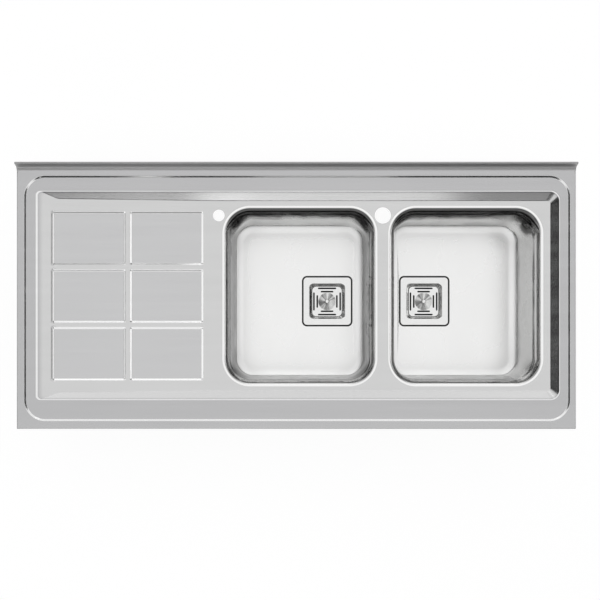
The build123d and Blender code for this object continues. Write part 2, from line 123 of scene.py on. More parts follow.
class SinkTopSizes(PropertyGroup):
    """Folds and pressings of the sink top."""

    sheet: size("Sheet", 1.0, "Thickness of the steel")
    skirt_height: size("Skirt", 36.0, "Height of the border above the cabinet")
    seat_width: size("Seat", 18.0, "Width of the return flange that rests on the cabinet")
    edge_radius: size("Edge radius", 1.5, "Bend between border and skirt")
    upstand_lean: size("Upstand lean", 5.0, "How far the upstand leans back over its height")
    upstand_top: size("Upstand top", 4.0, "Thickness of the fold along the upstand's top")
    upstand_radius: size("Upstand radius", 1.8, "Bends of the fold along the upstand's top")
    cove_radius: size("Cove", 8.0, "Bend between border and upstand")
    border_left: size("Left border", 18.0, "Left edge to the middle of the border's step")
    border_right: size("Right border", 14.5, "Right edge to the middle of the border's step")
    border_front: size("Front border", 19.0, "Front edge to the middle of the border's step")
    border_rear: size("Rear border", 28.6, "Rear edge to the middle of the border's step")
    border_corner: size("Step corner", 43.0, "Corner radius of the border's step")
    step_drop: size("Step drop", 2.0, "Height of the border's step")
    step_run: size("Step run", 4.0, "Width of the border's step")
    step_ease: size("Step bend", 0.25, "Half the width of each bend of the step")
    recess_left: size("Recess left", 42.4, "Left edge to the recess")
    recess_right: size("Recess right", 34.7, "Right edge to the recess")
    recess_front: size("Recess front", 62.8, "Front edge to the recess")
    recess_rear: size("Recess rear", 59.7, "Rear edge to the recess")
    recess_depth: size("Recess depth", 11.0, "Depth of the recess below the deck")
    left_run: size("Left slope", 52.0, "Width of the recess's long left slope")
    right_run: size("Right slope", 18.0, "Width of the recess's right wall")
    side_run: size("Side slope", 20.0, "Width of the recess's front and rear walls")
    left_corner: size("Left corners", 9.0, "Corner radius of the recess at the drainer")
    right_corner: size("Right corners", 20.0, "Corner radius of the recess at the bowls")
    pad_length: size("Pad length", 158.0, "Length of one raised drainer pad")
    pad_width: size("Pad width", 115.0, "Width of one raised drainer pad")
    pad_gap: size("Pad gap", 9.5, "Channel between drainer pads")
    pad_corner: size("Pad corner", 4.0, "Corner radius of a drainer pad")
    pad_height: size("Pad height", 2.0, "Height of a drainer pad")
    pad_run: size("Pad slope", 4.0, "Width of a drainer pad's sloping edge")
    pads_to_bowl: size("Pads to bowl", 41.0, "Drainer pads to the left bowl")
    drainer_fall: size("Drainer fall", 2.2, "Fall of the drainer towards the bowls")
    fall_to_bowl: size("Fall to bowl", 24.0, "End of the drainer's fall to the left bowl")
    tap_hole: size("Tap hole", 35.0, "Diameter of the tap hole")
    accessory_hole: size("Accessory hole", 25.0, "Diameter of the hole beside the left bowl")
    holes_to_recess: size("Holes to recess", 50.2, "Rear edge of the recess to the holes")
    accessory_to_bowl: size("Accessory to bowl", 7.7, "Accessory hole to the left bowl's edge")


class BowlSizes(PropertyGroup):
    """Drawn bowls."""

    corner: size("Corner", 60.0, "Corner radius of the bowl's outline")
    rim_radius: size("Rim radius", 13.0, "Roll from the recess floor into the bowl")
    draft: FloatProperty(
        name="Draft",
        description="Slope of the bowl's walls",
        default=radians(3.0),
        unit="ROTATION",
        subtype="ANGLE",
    )
    floor_radius: size("Floor radius", 16.0, "Bend between wall and floor")
    depth: size("Depth", 175.0, "Recess floor to bowl floor")
    floor_fall: size("Floor fall", 3.0, "Fall of the floor to the waste")
    floor_margin: size("Floor margin", 1.5, "Level strip before the floor falls")
    apron: size("Apron", 119.0, "Side of the level square round the waste")
    apron_corner: size("Apron corner", 12.0, "Corner radius of that square")
    flange_gap: size("Flange gap", 0.8, "Groove round the strainer's flange")
    seat_drop: size("Seat drop", 2.0, "Depth of the flange's seat")


class WasteSizes(PropertyGroup):
    """Strainer cup, tray, plug and waste outlet."""

    sheet: size("Sheet", 1.0, "Thickness of the strainer's steel")
    flange_corner: size("Flange corner", 8.0, "Corner radius of the flange")
    cup_opening: size("Cup opening", 82.0, "Side of the cup's mouth")
    cup_corner: size("Cup corner", 10.0, "Corner radius of the cup")
    cup_roll: size("Cup roll", 2.2, "Bend between flange and cup")
    ledge: size("Ledge", 71.0, "Side of the cup at the tray's ledge")
    cup_depth: size("Cup depth", 12.0, "Flange to the tray's ledge")
    well: size("Well", 66.0, "Side of the well below the tray")
    well_corner: size("Well corner", 8.0, "Corner radius of the well")
    well_depth: size("Well depth", 26.0, "Ledge to the well's floor")
    outlet: size("Outlet", 42.0, "Diameter of the outlet in the well's floor")
    tray_corner: size("Tray corner", 9.5, "Corner radius of the tray")
    slot_width: size("Slot width", 3.8, "Width of the tray's slots")
    outer_slot: size("Outer slots", 43.0, "Length of the outer slots")
    outer_place: size("Outer slot place", 31.0, "Waste's axis to the outer slots")
    inner_slot: size("Inner slots", 30.0, "Length of the inner slots")
    inner_place: size("Inner slot place", 23.2, "Waste's axis to the inner slots")
    dish: size("Dish", 39.0, "Diameter of the tray's round dish")
    dish_depth: size("Dish depth", 3.0, "Depth of the tray's round dish")
    stem_hole: size("Stem hole", 6.5, "Hole that the plug's stem passes through")
    knob: size("Knob", 10.5, "Diameter of the plug's knob")
    knob_height: size("Knob height", 5.5, "Height of the plug's knob")
    stem: size("Stem", 6.0, "Diameter of the plug's stem")
    collar: size("Collar", 18.0, "Diameter of the collar over the plug's seal")
    collar_height: size("Collar height", 2.0, "Height of that collar")
    seal_height: size("Seal height", 4.0, "Thickness of the plug's seal")
    stem_foot: size("Stem foot", 4.8, "Diameter of the stem below the collar")


class Finishes(PropertyGroup):
    """Colours and gloss."""

    # Border, recess and pads are one steel sheet in three tones: painted light and shade, the recess lightest
    # and the border darkest
    border_steel: tint("Border steel", (0.475, 0.475, 0.48), "Brushed steel of border and skirt")
    recess_steel: tint("Recess steel", (0.60, 0.60, 0.60), "Brushed steel inside the recess")
    pad_steel: tint("Pad steel", (0.545, 0.545, 0.55), "Brushed steel of the drainer's pads")
    # Pressed edges: glossier steel, and a brighter tone that is painted highlight
    edge_highlight_steel: tint("Edge steel", (0.78, 0.78, 0.78), "Steel of pressed edges, rubbed bright")
    bowl_steel: tint("Bowl steel", (0.85, 0.85, 0.845), "Satin steel of the bowls")
    # Painted shade on the bowls' walls: near black near the rim at the rear and in the corners, mid grey on
    # the side and front walls
    painted_shade_wall_steel: tint("Wall steel", (0.12, 0.12, 0.12), "Bowls' rear walls and corners, near the rim")
    painted_shade_side_steel: tint("Side steel", (0.28, 0.28, 0.28), "Polished steel of the bowls' side and front walls")
    glance_steel: tint("Glancing steel", (0.66, 0.66, 0.66), "Bowls' steel when seen almost edge on")
    # Painted highlight: a lighter tone on the bends at the bowls' feet
    painted_highlight_foot_steel: tint("Foot steel", (0.96, 0.96, 0.955), "Satin steel of the bends at the bowls' feet")
    upstand_steel: tint("Upstand steel", (0.42, 0.42, 0.42), "Dull steel of the upstand's face")
    bright_steel: tint("Bright steel", (0.78, 0.78, 0.775), "Bright steel of strainer, tray and plug")
    zinc: tint("Zinc", (0.52, 0.54, 0.56), "Galvanised rails and brackets")
    deadener: tint("Deadener", (0.075, 0.075, 0.08), "Sound-deadening pads")
    plastic: tint("Plastic", (0.74, 0.74, 0.72), "Moulded waste body")
    rubber: tint("Rubber", (0.028, 0.028, 0.03), "Seals")
    top_gloss: share("Top roughness", 0.17, "Roughness of the sink top")
    edge_gloss: share("Edge roughness", 0.13, "Roughness of pressed edges")
    upstand_gloss: share("Upstand roughness", 0.5, "Roughness of the upstand")
    wall_gloss: share("Wall roughness", 0.13, "Roughness of the bowls' polished walls")
    foot_gloss: share("Foot roughness", 0.4, "Roughness of the bends at the bowls' feet")
    floor_gloss: share("Floor roughness", 0.27, "Roughness of the bowls' brushed floors")
    bright_gloss: share("Bright roughness", 0.14, "Roughness of the bright steel")


class StageSettings(PropertyGroup):
    """Camera, lamps and floor."""

    camera_height: size("Camera height", 2006.0, "Camera above the seat")
    camera_y: size("Camera place", -408.8, "Camera's place across the sink")
    lens: FloatProperty(name="Lens", description="Focal length in millimetres", default=55.1, min=1.0)
    shift_x: FloatProperty(name="Shift X", description="Sideways shift of the picture", default=0.00607)
    shift_y: FloatProperty(name="Shift Y", description="Upward shift of the picture", default=0.0967)
    overhead: amount("Overhead", 1.0, "Radiance of the overhead lamps")
    cards: amount("Cards", 1.0, "Level of the lamps round the sink")
    room: share("Room", 0.04, "Level of the room round the lamps")
    floor_drop: size("Floor gap", 2.0, "Outlets to the floor")


# Outlines, profiles and meshes


def ease(x, width):
    """A ramp that starts smoothly: 0 below -width, x above width, and a parabola between the two."""
    return np.where(x < -width, 0.0, np.where(x > width, x, (x + width) ** 2 / (4 * width)))


def unit(v):
    """Vectors of an array, each divided by its length."""
    return v / np.linalg.norm(v, axis=-1, keepdims=True)


def rounded(corners, radii, steps, rest):
    """A line through corners, each inner one rounded to its radius.

    Each arc's centre lies on the corner's bisector, radius over the sine of half the angle away from it. A
    point a little way along each side keeps the straight runs flat.
    """
    line = np.array(corners, float)
    before, after = unit(line[:-2] - line[1:-1]), unit(line[2:] - line[1:-1])
    half = 0.5 * np.arccos(np.clip((before * after).sum(1), -1, 1))[:, None]
    radii = np.array(radii, float)[:, None]
    centre = line[1:-1] + unit(before + after) * radii / np.sin(half)
    cut = radii / np.tan(half)
    start, stop = line[1:-1] + before * cut, line[1:-1] + after * cut
    turn = (pi - 2 * half)[:, None]
    at = np.linspace(0, 1, steps + 1)[None, :, None]
    first, last = (start - centre)[:, None], (stop - centre)[:, None]
    arcs = centre[:, None] + (np.sin((1 - at) * turn) * first + np.sin(at * turn) * last) / np.sin(turn)
    arcs = np.concatenate([(start + before * rest)[:, None], arcs, (stop + after * rest)[:, None]], 1)
    return np.concatenate([line[:1], arcs.reshape(-1, 2), line[-1:]])


def outlines(left, right, front, rear, radii, side=24, corner=24):
    """Rounded rectangles, one for each value of the four spans, as an array of (outline, point, xy).

    Each is four quarter circles joined by straight sides, anticlockwise from above, from the front right
    corner. Radii are in the order front right, rear right, rear left, front left. Side is a number of equal
    steps, or the shares of a side at which its points lie.
    """
    spans = np.broadcast_arrays(*(np.atleast_1d(np.asarray(v, float)) for v in (left, right, front, rear)))
    left, right, front, rear = (v[:, None] for v in spans)
    radii = np.maximum(np.broadcast_to(radii, (len(left), 4)), 0)
    x = np.where([True, True, False, False], right - radii, left + radii)
    y = np.where([False, True, True, False], rear - radii, front + radii)
    angle = np.radians(90 * np.arange(4)[:, None] - 90 + np.linspace(0, 90, corner + 1))
    radii = radii[:, :, None]
    arcs = np.stack([x[:, :, None] + radii * np.cos(angle), y[:, :, None] + radii * np.sin(angle)], -1)
    place = np.linspace(0, 1, side + 1)[1:-1] if np.isscalar(side) else np.asarray(side)
    place = place[:, None]
    runs = arcs[:, :, -1:] * (1 - place) + np.roll(arcs, -1, 1)[:, :, :1] * place
    return np.concatenate([arcs, runs], 2).reshape(len(left), -1, 2)


def squares(axis, reach, radii, side=24, corner=24):
    """Rounded squares round a vertical axis, one for each half side and its radius."""
    x, y = axis
    return outlines(x - reach, x + reach, y - reach, y + reach, radii[:, None], side, corner)


def lifted(plan, height):
    """Points of a plan with their heights."""
    return np.concatenate([plan, np.broadcast_to(height, plan.shape[:-1])[..., None]], -1)


def circle(steps):
    """Points spaced evenly round a circle of radius 1."""
    angle = np.linspace(0, 2 * pi, steps, endpoint=False)
    return np.stack([np.cos(angle), np.sin(angle)], -1)


def turned(profile, centre, steps=64):
    """A profile of (radius, height) carried round a vertical axis, as a grid of points."""
    return lifted(np.asarray(centre) + profile[:, None, :1] * circle(steps), profile[:, 1:])


def face_middles(v):
    """Means of a grid's values at the four corners of each face."""
    return (v[1:, 1:] + v[:-1, 1:] + v[1:, :-1] + v[:-1, :-1]) / 4


class Skin:
    """Grids and filled outlines gathered into one mesh, each face with the number of its finish."""

    def __init__(self):
        self.points, self.faces, self.finishes, self.total = [], [], [], 0

    def add(self, points, faces, finish):
        """Takes points and the faces between them."""
        self.points.append(points.reshape(-1, 3))
        self.faces += (np.asarray(faces) + self.total).tolist()
        self.finishes.append(np.full(len(faces), finish))
        self.total += points.size // 3

    def grid(self, points, closed=True, finish=0):
        """Quads between the rows of a grid; a closed grid joins its last column to its first.

        Rows that run from outside to inside, or from top to bottom of a hollow, show their faces upwards.
        """
        rows, columns = points.shape[:2]
        across = np.arange(columns if closed else columns - 1)
        row = np.arange(rows - 1)[:, None] * columns
        here, beside = row + across, row + (across + 1) % columns
        quads = np.stack([here, beside, beside + columns, here + columns], -1).reshape(-1, 4)
        self.add(points, quads, finish)

    def fill(self, loops, height):
        """The area inside the first loop and outside the others, in triangles.

        Height is a number, or gives z from x and y. A triangle stays if a line from its middle crosses the
        loops an odd number of times.
        """
        start = np.concatenate(loops) / MM
        stop = np.concatenate([np.roll(loop, -1, 0) for loop in loops]) / MM
        counts = [len(loop) for loop in loops]
        first = np.repeat(np.cumsum([0] + counts[:-1]), counts)
        number = np.arange(len(start))
        follows = first + (number - first + 1) % np.repeat(counts, counts)
        edges = np.stack([number, follows], -1).tolist()
        plan, _, triangles, *_ = delaunay_2d_cdt(start.tolist(), edges, [], 0, 1e-4)
        plan, triangles = np.array(plan), np.array(triangles)
        middle = plan[triangles].mean(1)
        x, y = middle[:, :1], middle[:, 1:]
        rise = stop[:, 1] - start[:, 1]
        crossing = start[:, 0] + (y - start[:, 1]) * (stop[:, 0] - start[:, 0]) / np.where(rise == 0, 1, rise)
        crossed = ((start[:, 1] > y) != (stop[:, 1] > y)) & (x < crossing)
        triangles = triangles[crossed.sum(1) % 2 == 1]
        a, b, c = (plan[triangles[:, k]] for k in range(3))
        back = (b - a)[:, 0] * (c - a)[:, 1] < (b - a)[:, 1] * (c - a)[:, 0]
        triangles[back] = triangles[back][:, ::-1]
        plan = plan * MM
        z = height(plan[:, 0], plan[:, 1]) if callable(height) else height
        self.add(lifted(plan, z), triangles, 0)

    def polygon(self, points):
        """One flat face."""
        self.add(points, np.arange(len(points))[None], 0)

    def piece(self, name, finishes, body, slot, nodes, sheet=0.0, back=0):
        """The mesh as a piece of the sink, with its sheet's thickness behind its faces.

        Back is how many places further on in the list the finish of the sheet's other face is.
        """
        mesh = bpy.data.meshes.new(name)
        mesh.from_pydata(np.concatenate(self.points), [], self.faces)
        mesh.polygons.foreach_set("material_index", np.concatenate(self.finishes).astype(np.int32))
        shape = bmesh.new()
        shape.from_mesh(mesh)
        bmesh.ops.remove_doubles(shape, verts=shape.verts, dist=WELD)
        shape.to_mesh(mesh)
        shape.free()
        for finish in finishes:
            mesh.materials.append(finish)
        piece = bpy.data.objects.new(name, mesh)
        bpy.context.scene.collection.objects.link(piece)
        if sheet:
            wall = piece.modifiers.new("Sheet", "SOLIDIFY")
            wall.thickness, wall.offset, wall.material_offset = sheet, -1, back
            solid = piece.evaluated_get(bpy.context.evaluated_depsgraph_get())
            piece.data = bpy.data.meshes.new_from_object(solid)
            piece.modifiers.clear()
        piece.data.shade_smooth()
        piece.data.set_sharp_from_angle(angle=SHARP)
        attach(piece, body)
        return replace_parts(piece, *nodes)


# Finishes


class Socket:
    """A shader socket. Sums written with it add Math nodes, and node() adds any other node."""

    def __init__(self, tree, socket=None):
        self.tree, self.socket = tree, socket

    def node(self, kind, settings=(), inputs=(), output=0):
        """Adds a node, sets it up, gives its sockets their values or links, and returns one output."""
        made = self.tree.nodes.new(kind)
        for name, value in dict(settings).items():
            setattr(made, name, value)
        for name, value in dict(inputs).items():
            if isinstance(value, Socket):
                self.tree.links.new(value.socket, made.inputs[name])
            else:
                made.inputs[name].default_value = value
        return Socket(self.tree, made.outputs[output] if made.outputs else None)

    def sum(self, operation, a, b):
        """Math on two values."""
        return self.node("ShaderNodeMath", {"operation": operation}, {0: a, 1: b})

    def __add__(self, other):
        return self.sum("ADD", self, other)

    def __radd__(self, other):
        return self.sum("ADD", other, self)

    def __sub__(self, other):
        return self.sum("SUBTRACT", self, other)

    def __rsub__(self, other):
        return self.sum("SUBTRACT", other, self)

    def __mul__(self, other):
        return self.sum("MULTIPLY", self, other)

    def __rmul__(self, other):
        return self.sum("MULTIPLY", other, self)

    def noise(self, place, scale, detail=3.0, rough=0.55):
        """Noise about 0.5 on coordinates stretched by the scale of each axis."""
        stretched = self.node("ShaderNodeMapping", {}, {"Vector": place, "Scale": scale})
        values = {"Vector": stretched, "Scale": 1.0, "Detail": detail, "Roughness": rough}
        return self.node("ShaderNodeTexNoise", {}, values)

    def band(self, value, low, high):
        """0 below low, 1 above high, smooth between; high may be the smaller."""
        return self.node(
            "ShaderNodeMapRange",
            {"interpolation_type": "SMOOTHSTEP"},
            {"Value": value, "From Min": low, "From Max": high},
        )

    def mix(self, factor, a, b):
        """A colour between two."""
        return self.node("ShaderNodeMix", {"data_type": "RGBA"}, {0: factor, 6: a, 7: b}, output=2)

    def tones(self, factor, colour, low, high):
        """A tone between two levels of one colour."""
        return self.mix(factor, opaque(colour, low), opaque(colour, high))

    def bump(self, height, depth, strength=1.0, inputs=()):
        """A normal raised by a height that runs from 0 to 1 over the depth in metres."""
        values = {"Height": height, "Distance": depth, "Strength": strength}
        return self.node("ShaderNodeBump", {}, {**values, **dict(inputs)})

    def vector(self, operation, *values, output=0):
        """Vector Math on places, directions or normals."""
        return self.node("ShaderNodeVectorMath", {"operation": operation}, dict(enumerate(values)), output)

    def place(self):
        """Places on the piece, in metres."""
        return self.node("ShaderNodeTexCoord", output="Object")

    def part(self, place, axis):
        """One part of a place: X, Y or Z."""
        return self.node("ShaderNodeSeparateXYZ", {}, {"Vector": place}, output=axis)

    def size_of(self):
        """The value without its sign."""
        return self.sum("ABSOLUTE", self, 0.0)


def opaque(colour, level=1.0):
    """A colour with full alpha, lightened or darkened by a level."""
    return (*(min(1.0, c * level) for c in colour), 1.0)


class Finish(Socket):
    """The start of a new material's tree."""

    def __init__(self, name):
        self.material = bpy.data.materials.new(name)
        self.material.use_nodes = True
        super().__init__(self.material.node_tree)
        self.tree.nodes.clear()

    def show(self, surface):
        """Ends the tree with the surface's shader, and returns the material."""
        self.node("ShaderNodeOutputMaterial", {}, {"Surface": surface})
        return self.material

    def dress(self, **values):
        """Ends the tree with a Principled shader of these values or links, and returns the material."""
        inputs = {name.replace("_", " ").title(): value for name, value in values.items()}
        return self.show(self.node("ShaderNodeBsdfPrincipled", {}, inputs))


def top_steel(deck_z, name, above, beneath, gloss, grain):
    """Steel brushed along the sink: fine lines and broad streaks along X, and another tone below the deck,
    which is painted light and shade, as border and recess are one sheet.
    """
    start = Finish(name)
    place = start.place()
    height = start.part(place, "Z")
    lines = start.noise(place, (9.0, 1500.0, 1500.0), 2.0, 0.6)
    streaks = start.noise(place, (2.2, 46.0, 46.0), 4.0, 0.6)
    clouds = start.noise(place, (7.0, 9.0, 9.0), 2.0, 0.5)
    # Border tone above the deck and recess tone below it: painted light and shade on one sheet
    below = start.band(height, deck_z - 0.4 * MM, deck_z - 3.0 * MM)
    shade = 0.5 + (lines - 0.5) * (0.5 * grain) + (streaks - 0.5) * (0.9 * grain) + (clouds - 0.5) * 0.3
    border = start.tones(shade, above, 0.93, 1.07)
    recess = start.tones(shade, beneath, 0.94, 1.06)
    return start.dress(
        base_color=start.mix(below, border, recess),
        metallic=1.0,
        roughness=gloss + (lines - 0.5) * (0.10 * grain) + (streaks - 0.5) * (0.12 * grain),
        normal=start.bump(lines, 0.004 * MM, 0.35),
    )


def bowl_steel(colours, name, centre, rim_z, floor_z, end_x):
    """Drawn steel of one bowl, polished along level lines, with a light foot and a clouded floor.

    Walls carry painted shade: dark near the rim at the rear and in the corners, mid grey at the front and
    sides, and kept light at the sink's right end. Normals lie flatter on the rim's roll, so that it looks
    small. They look upwards at the foot, as the floor's do, and a little in the painted dark places.
    """
    start = Finish(name)
    place = start.place()
    x, y, height = (start.part(place, axis) for axis in "XYZ")

    def fade(base, low, high, value=height):
        """0 to 1 between two heights above a base, given in millimetres."""
        return start.band(value, base + low * MM, base + high * MM)

    lines = start.noise(place, (30.0, 30.0, 1500.0), 2.0, 0.6)
    streaks = start.noise(place, (5.0, 5.0, 150.0), 4.0, 0.6)
    clouds = start.noise(place, (11.0, 8.0, 6.0), 3.0, 0.5)
    waves = start.noise(place, (17.0, 17.0, 7.0), 2.0, 0.5)
    foot = fade(floor_z, 30, 14)
    floor = fade(floor_z, 1.5, -0.5)
    above_foot = 1 - foot
    gloss = colours.wall_gloss + foot * (colours.foot_gloss - colours.wall_gloss)
    gloss = gloss + floor * (colours.floor_gloss - colours.foot_gloss)
    level = ((lines - 0.5) * 0.2 + (streaks - 0.5) * 0.6) * above_foot
    shade = 0.5 + level + (clouds - 0.5) * 0.6
    plain = start.tones(shade, colours.bowl_steel, 0.93, 1.07)
    # Painted highlight: the foot band takes the lighter foot tone
    light = start.mix(foot - floor, plain, opaque(colours.painted_highlight_foot_steel))
    # Painted shade: where the walls are mid grey and where dark; both fade in blotches, and |x||y| is large
    # in a corner
    blotches = (waves - 0.5) * 0.16 + (streaks - 0.5) * 0.04
    corner = start.band((x - centre[0]).size_of() * (y - centre[1]).size_of(), 0.019, 0.028)
    rear = start.band(y, centre[1] + 120 * MM, centre[1] + 170 * MM)
    painted_light_end = start.band(x, end_x - 160 * MM, end_x - 100 * MM) * 0.85
    side = fade(floor_z, -13, 67, height + blotches) * (1 - rear) * (1 - painted_light_end)
    side = side * fade(rim_z, -1, -27) * above_foot
    dark = fade(rim_z, -108, -13, height + blotches * 0.35 + corner * 0.08)
    dark = dark * start.sum("MAXIMUM", rear, corner)
    wall = start.mix(side, light, opaque(colours.painted_shade_side_steel))
    # Normals: their upward part cut down on the roll, then added to at the foot and in the dark places
    roll = fade(rim_z, -0.5, -1.8) * fade(rim_z, -83, -43)
    flatter = start.node("ShaderNodeCombineXYZ", {}, {0: 1.0, 1: 1.0, 2: 1 - roll * 0.9})
    normal = start.vector("MULTIPLY", start.node("ShaderNodeNewGeometry", output="Normal"), flatter)
    upwards = start.node("ShaderNodeCombineXYZ", {}, {2: fade(floor_z, 34, 12) * 2.0 + dark * 0.5})
    bent = start.vector("NORMALIZE", start.vector("ADD", normal, upwards))
    swell = (waves + lines * 0.0002) * fade(rim_z, -15, -38) * above_foot
    return start.dress(
        base_color=start.mix(dark * fade(rim_z, -0.15, -0.9) * above_foot, wall, opaque(colours.painted_shade_wall_steel)),
        metallic=1.0,
        specular_tint=opaque(colours.glance_steel),
        roughness=gloss + level * 0.1 + (clouds - 0.5) * 0.06,
        normal=start.bump(swell, 6 * MM, 1.0, {"Normal": bent}),
    )


def bright_steel(colours, name="bright_steel", rough=0.0, level=1.0):
    """Polished pressed steel with faint wipe marks, duller by rough and darker by level; the bowls' backs are
    duller unpolished steel, and the dark groove, cup, well and flange edge are painted shade.
    """
    start = Finish(name)
    place = start.place()
    wipes = start.noise(place, (160.0, 900.0, 500.0), 3.0, 0.6)
    clouds = start.noise(place, (60.0, 60.0, 60.0), 3.0, 0.5)
    shade = 0.5 + (wipes - 0.5) * 0.6 + (clouds - 0.5) * 0.6
    return start.dress(
        base_color=start.tones(shade, colours.bright_steel, 0.93 * level, 1.07 * level),
        metallic=1.0,
        roughness=colours.bright_gloss + rough + (wipes - 0.5) * 0.08 + (clouds - 0.5) * 0.05,
        normal=start.bump(wipes, 0.002 * MM, 0.5),
    )


def spun_steel(colours):
    """Steel spun round the plug's axis: light and dark fans that are painted reflection, fine rings from the
    piece's own map, and a stretched gloss.
    """
    start = Finish("spun_steel")
    place = start.node("ShaderNodeUVMap", {"uv_map": "axis"})
    reach = start.vector("LENGTH", place, output="Value")
    rings = start.node(
        "ShaderNodeTexNoise", {"noise_dimensions": "1D"}, {"W": reach * 2600.0, "Scale": 1.0, "Detail": 3.0}
    )
    # Painted reflection: light and dark fans that turn with the direction from the axis
    painted_reflection_fans = start.band(start.noise(start.vector("NORMALIZE", place), (1.5, 1.5, 1.5), 1.0), 0.38, 0.60)
    return start.dress(
        base_color=start.tones(painted_reflection_fans * 0.8 + rings * 0.2, colours.bright_steel, 0.25, 1.1),
        metallic=1.0,
        roughness=0.28 + (rings - 0.5) * 0.14,
        normal=start.bump(rings, 0.006 * MM, 0.6),
        anisotropic=0.95,
        anisotropic_rotation=0.25,
    )


def zinc(colours):
    """Galvanised sheet: crystal facets a few millimetres across, each with its own tone and gloss."""
    start = Finish("galvanised_sheet")
    place = start.place()
    facet = start.node("ShaderNodeTexVoronoi", {}, {"Vector": place, "Scale": 150.0}, output="Color")
    tone = start.part(facet, "X")
    dust = start.noise(place, (90.0, 90.0, 90.0), 4.0, 0.6)
    return start.dress(
        base_color=start.tones(tone * 0.7 + dust * 0.3, colours.zinc, 0.82, 1.14),
        metallic=1.0,
        roughness=0.36 + tone * 0.16 + (dust - 0.5) * 0.1,
        normal=start.bump(dust, 0.02 * MM, 0.4),
    )


def deadener(colours):
    """Bitumen sheet: dull black with a fine grain and paler dusty patches."""
    start = Finish("bitumen_sheet")
    place = start.place()
    grain = start.noise(place, (900.0, 900.0, 900.0), 4.0, 0.65)
    dust = start.noise(place, (35.0, 35.0, 35.0), 4.0, 0.6)
    return start.dress(
        base_color=start.tones(grain * 0.5 + dust * 0.5, colours.deadener, 0.6, 1.5),
        roughness=0.82 + (grain - 0.5) * 0.2,
        normal=start.bump(grain, 0.25 * MM, 0.8),
    )


def plastic(colours):
    """Moulded polypropylene: a fine spark-eroded grain and a slight waxy unevenness."""
    start = Finish("moulded_plastic")
    place = start.place()
    grain = start.noise(place, (2200.0, 2200.0, 2200.0), 2.0, 0.5)
    flow = start.noise(place, (30.0, 30.0, 18.0), 3.0, 0.5)
    return start.dress(
        base_color=start.tones(flow, colours.plastic, 0.95, 1.04),
        roughness=0.42 + (grain - 0.5) * 0.1 + (flow - 0.5) * 0.1,
        normal=start.bump(grain, 0.03 * MM, 0.5),
    )


def rubber(colours):
    """Black moulded rubber with a faint bloom."""
    start = Finish("seal_rubber")
    place = start.place()
    grain = start.noise(place, (1500.0, 1500.0, 1500.0), 3.0, 0.6)
    bloom = start.noise(place, (70.0, 70.0, 70.0), 3.0, 0.6)
    return start.dress(
        base_color=start.tones(bloom, colours.rubber, 0.7, 1.8),
        roughness=0.62 + (grain - 0.5) * 0.2,
        normal=start.bump(grain, 0.03 * MM, 0.5),
    )


def repaint(material, *nodes):
    """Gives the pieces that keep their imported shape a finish."""
    for name in nodes:
        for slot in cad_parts[name].material_slots:
            slot.material = material


# Places that follow from the frame


def top_spans():
    """Left, right, front and rear of the sink top, and the height of its upstand."""
    low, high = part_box("deck")
    return low.x, high.x, low.y, high.y, high.z


def bowl_spans(side):
    """Left, right, front and rear of a bowl's rim, out to the line where it joins the recess floor."""
    low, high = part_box(f"{side}_bowl")
    return low.x, high.x, low.y, high.y


def waste_axis(side):
    """Where a waste's vertical axis is, and the height of its flange's top."""
    low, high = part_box(f"{side}_strainer_body")
    return np.array([(low.x + high.x) / 2, (low.y + high.y) / 2]), high.z


# Pieces


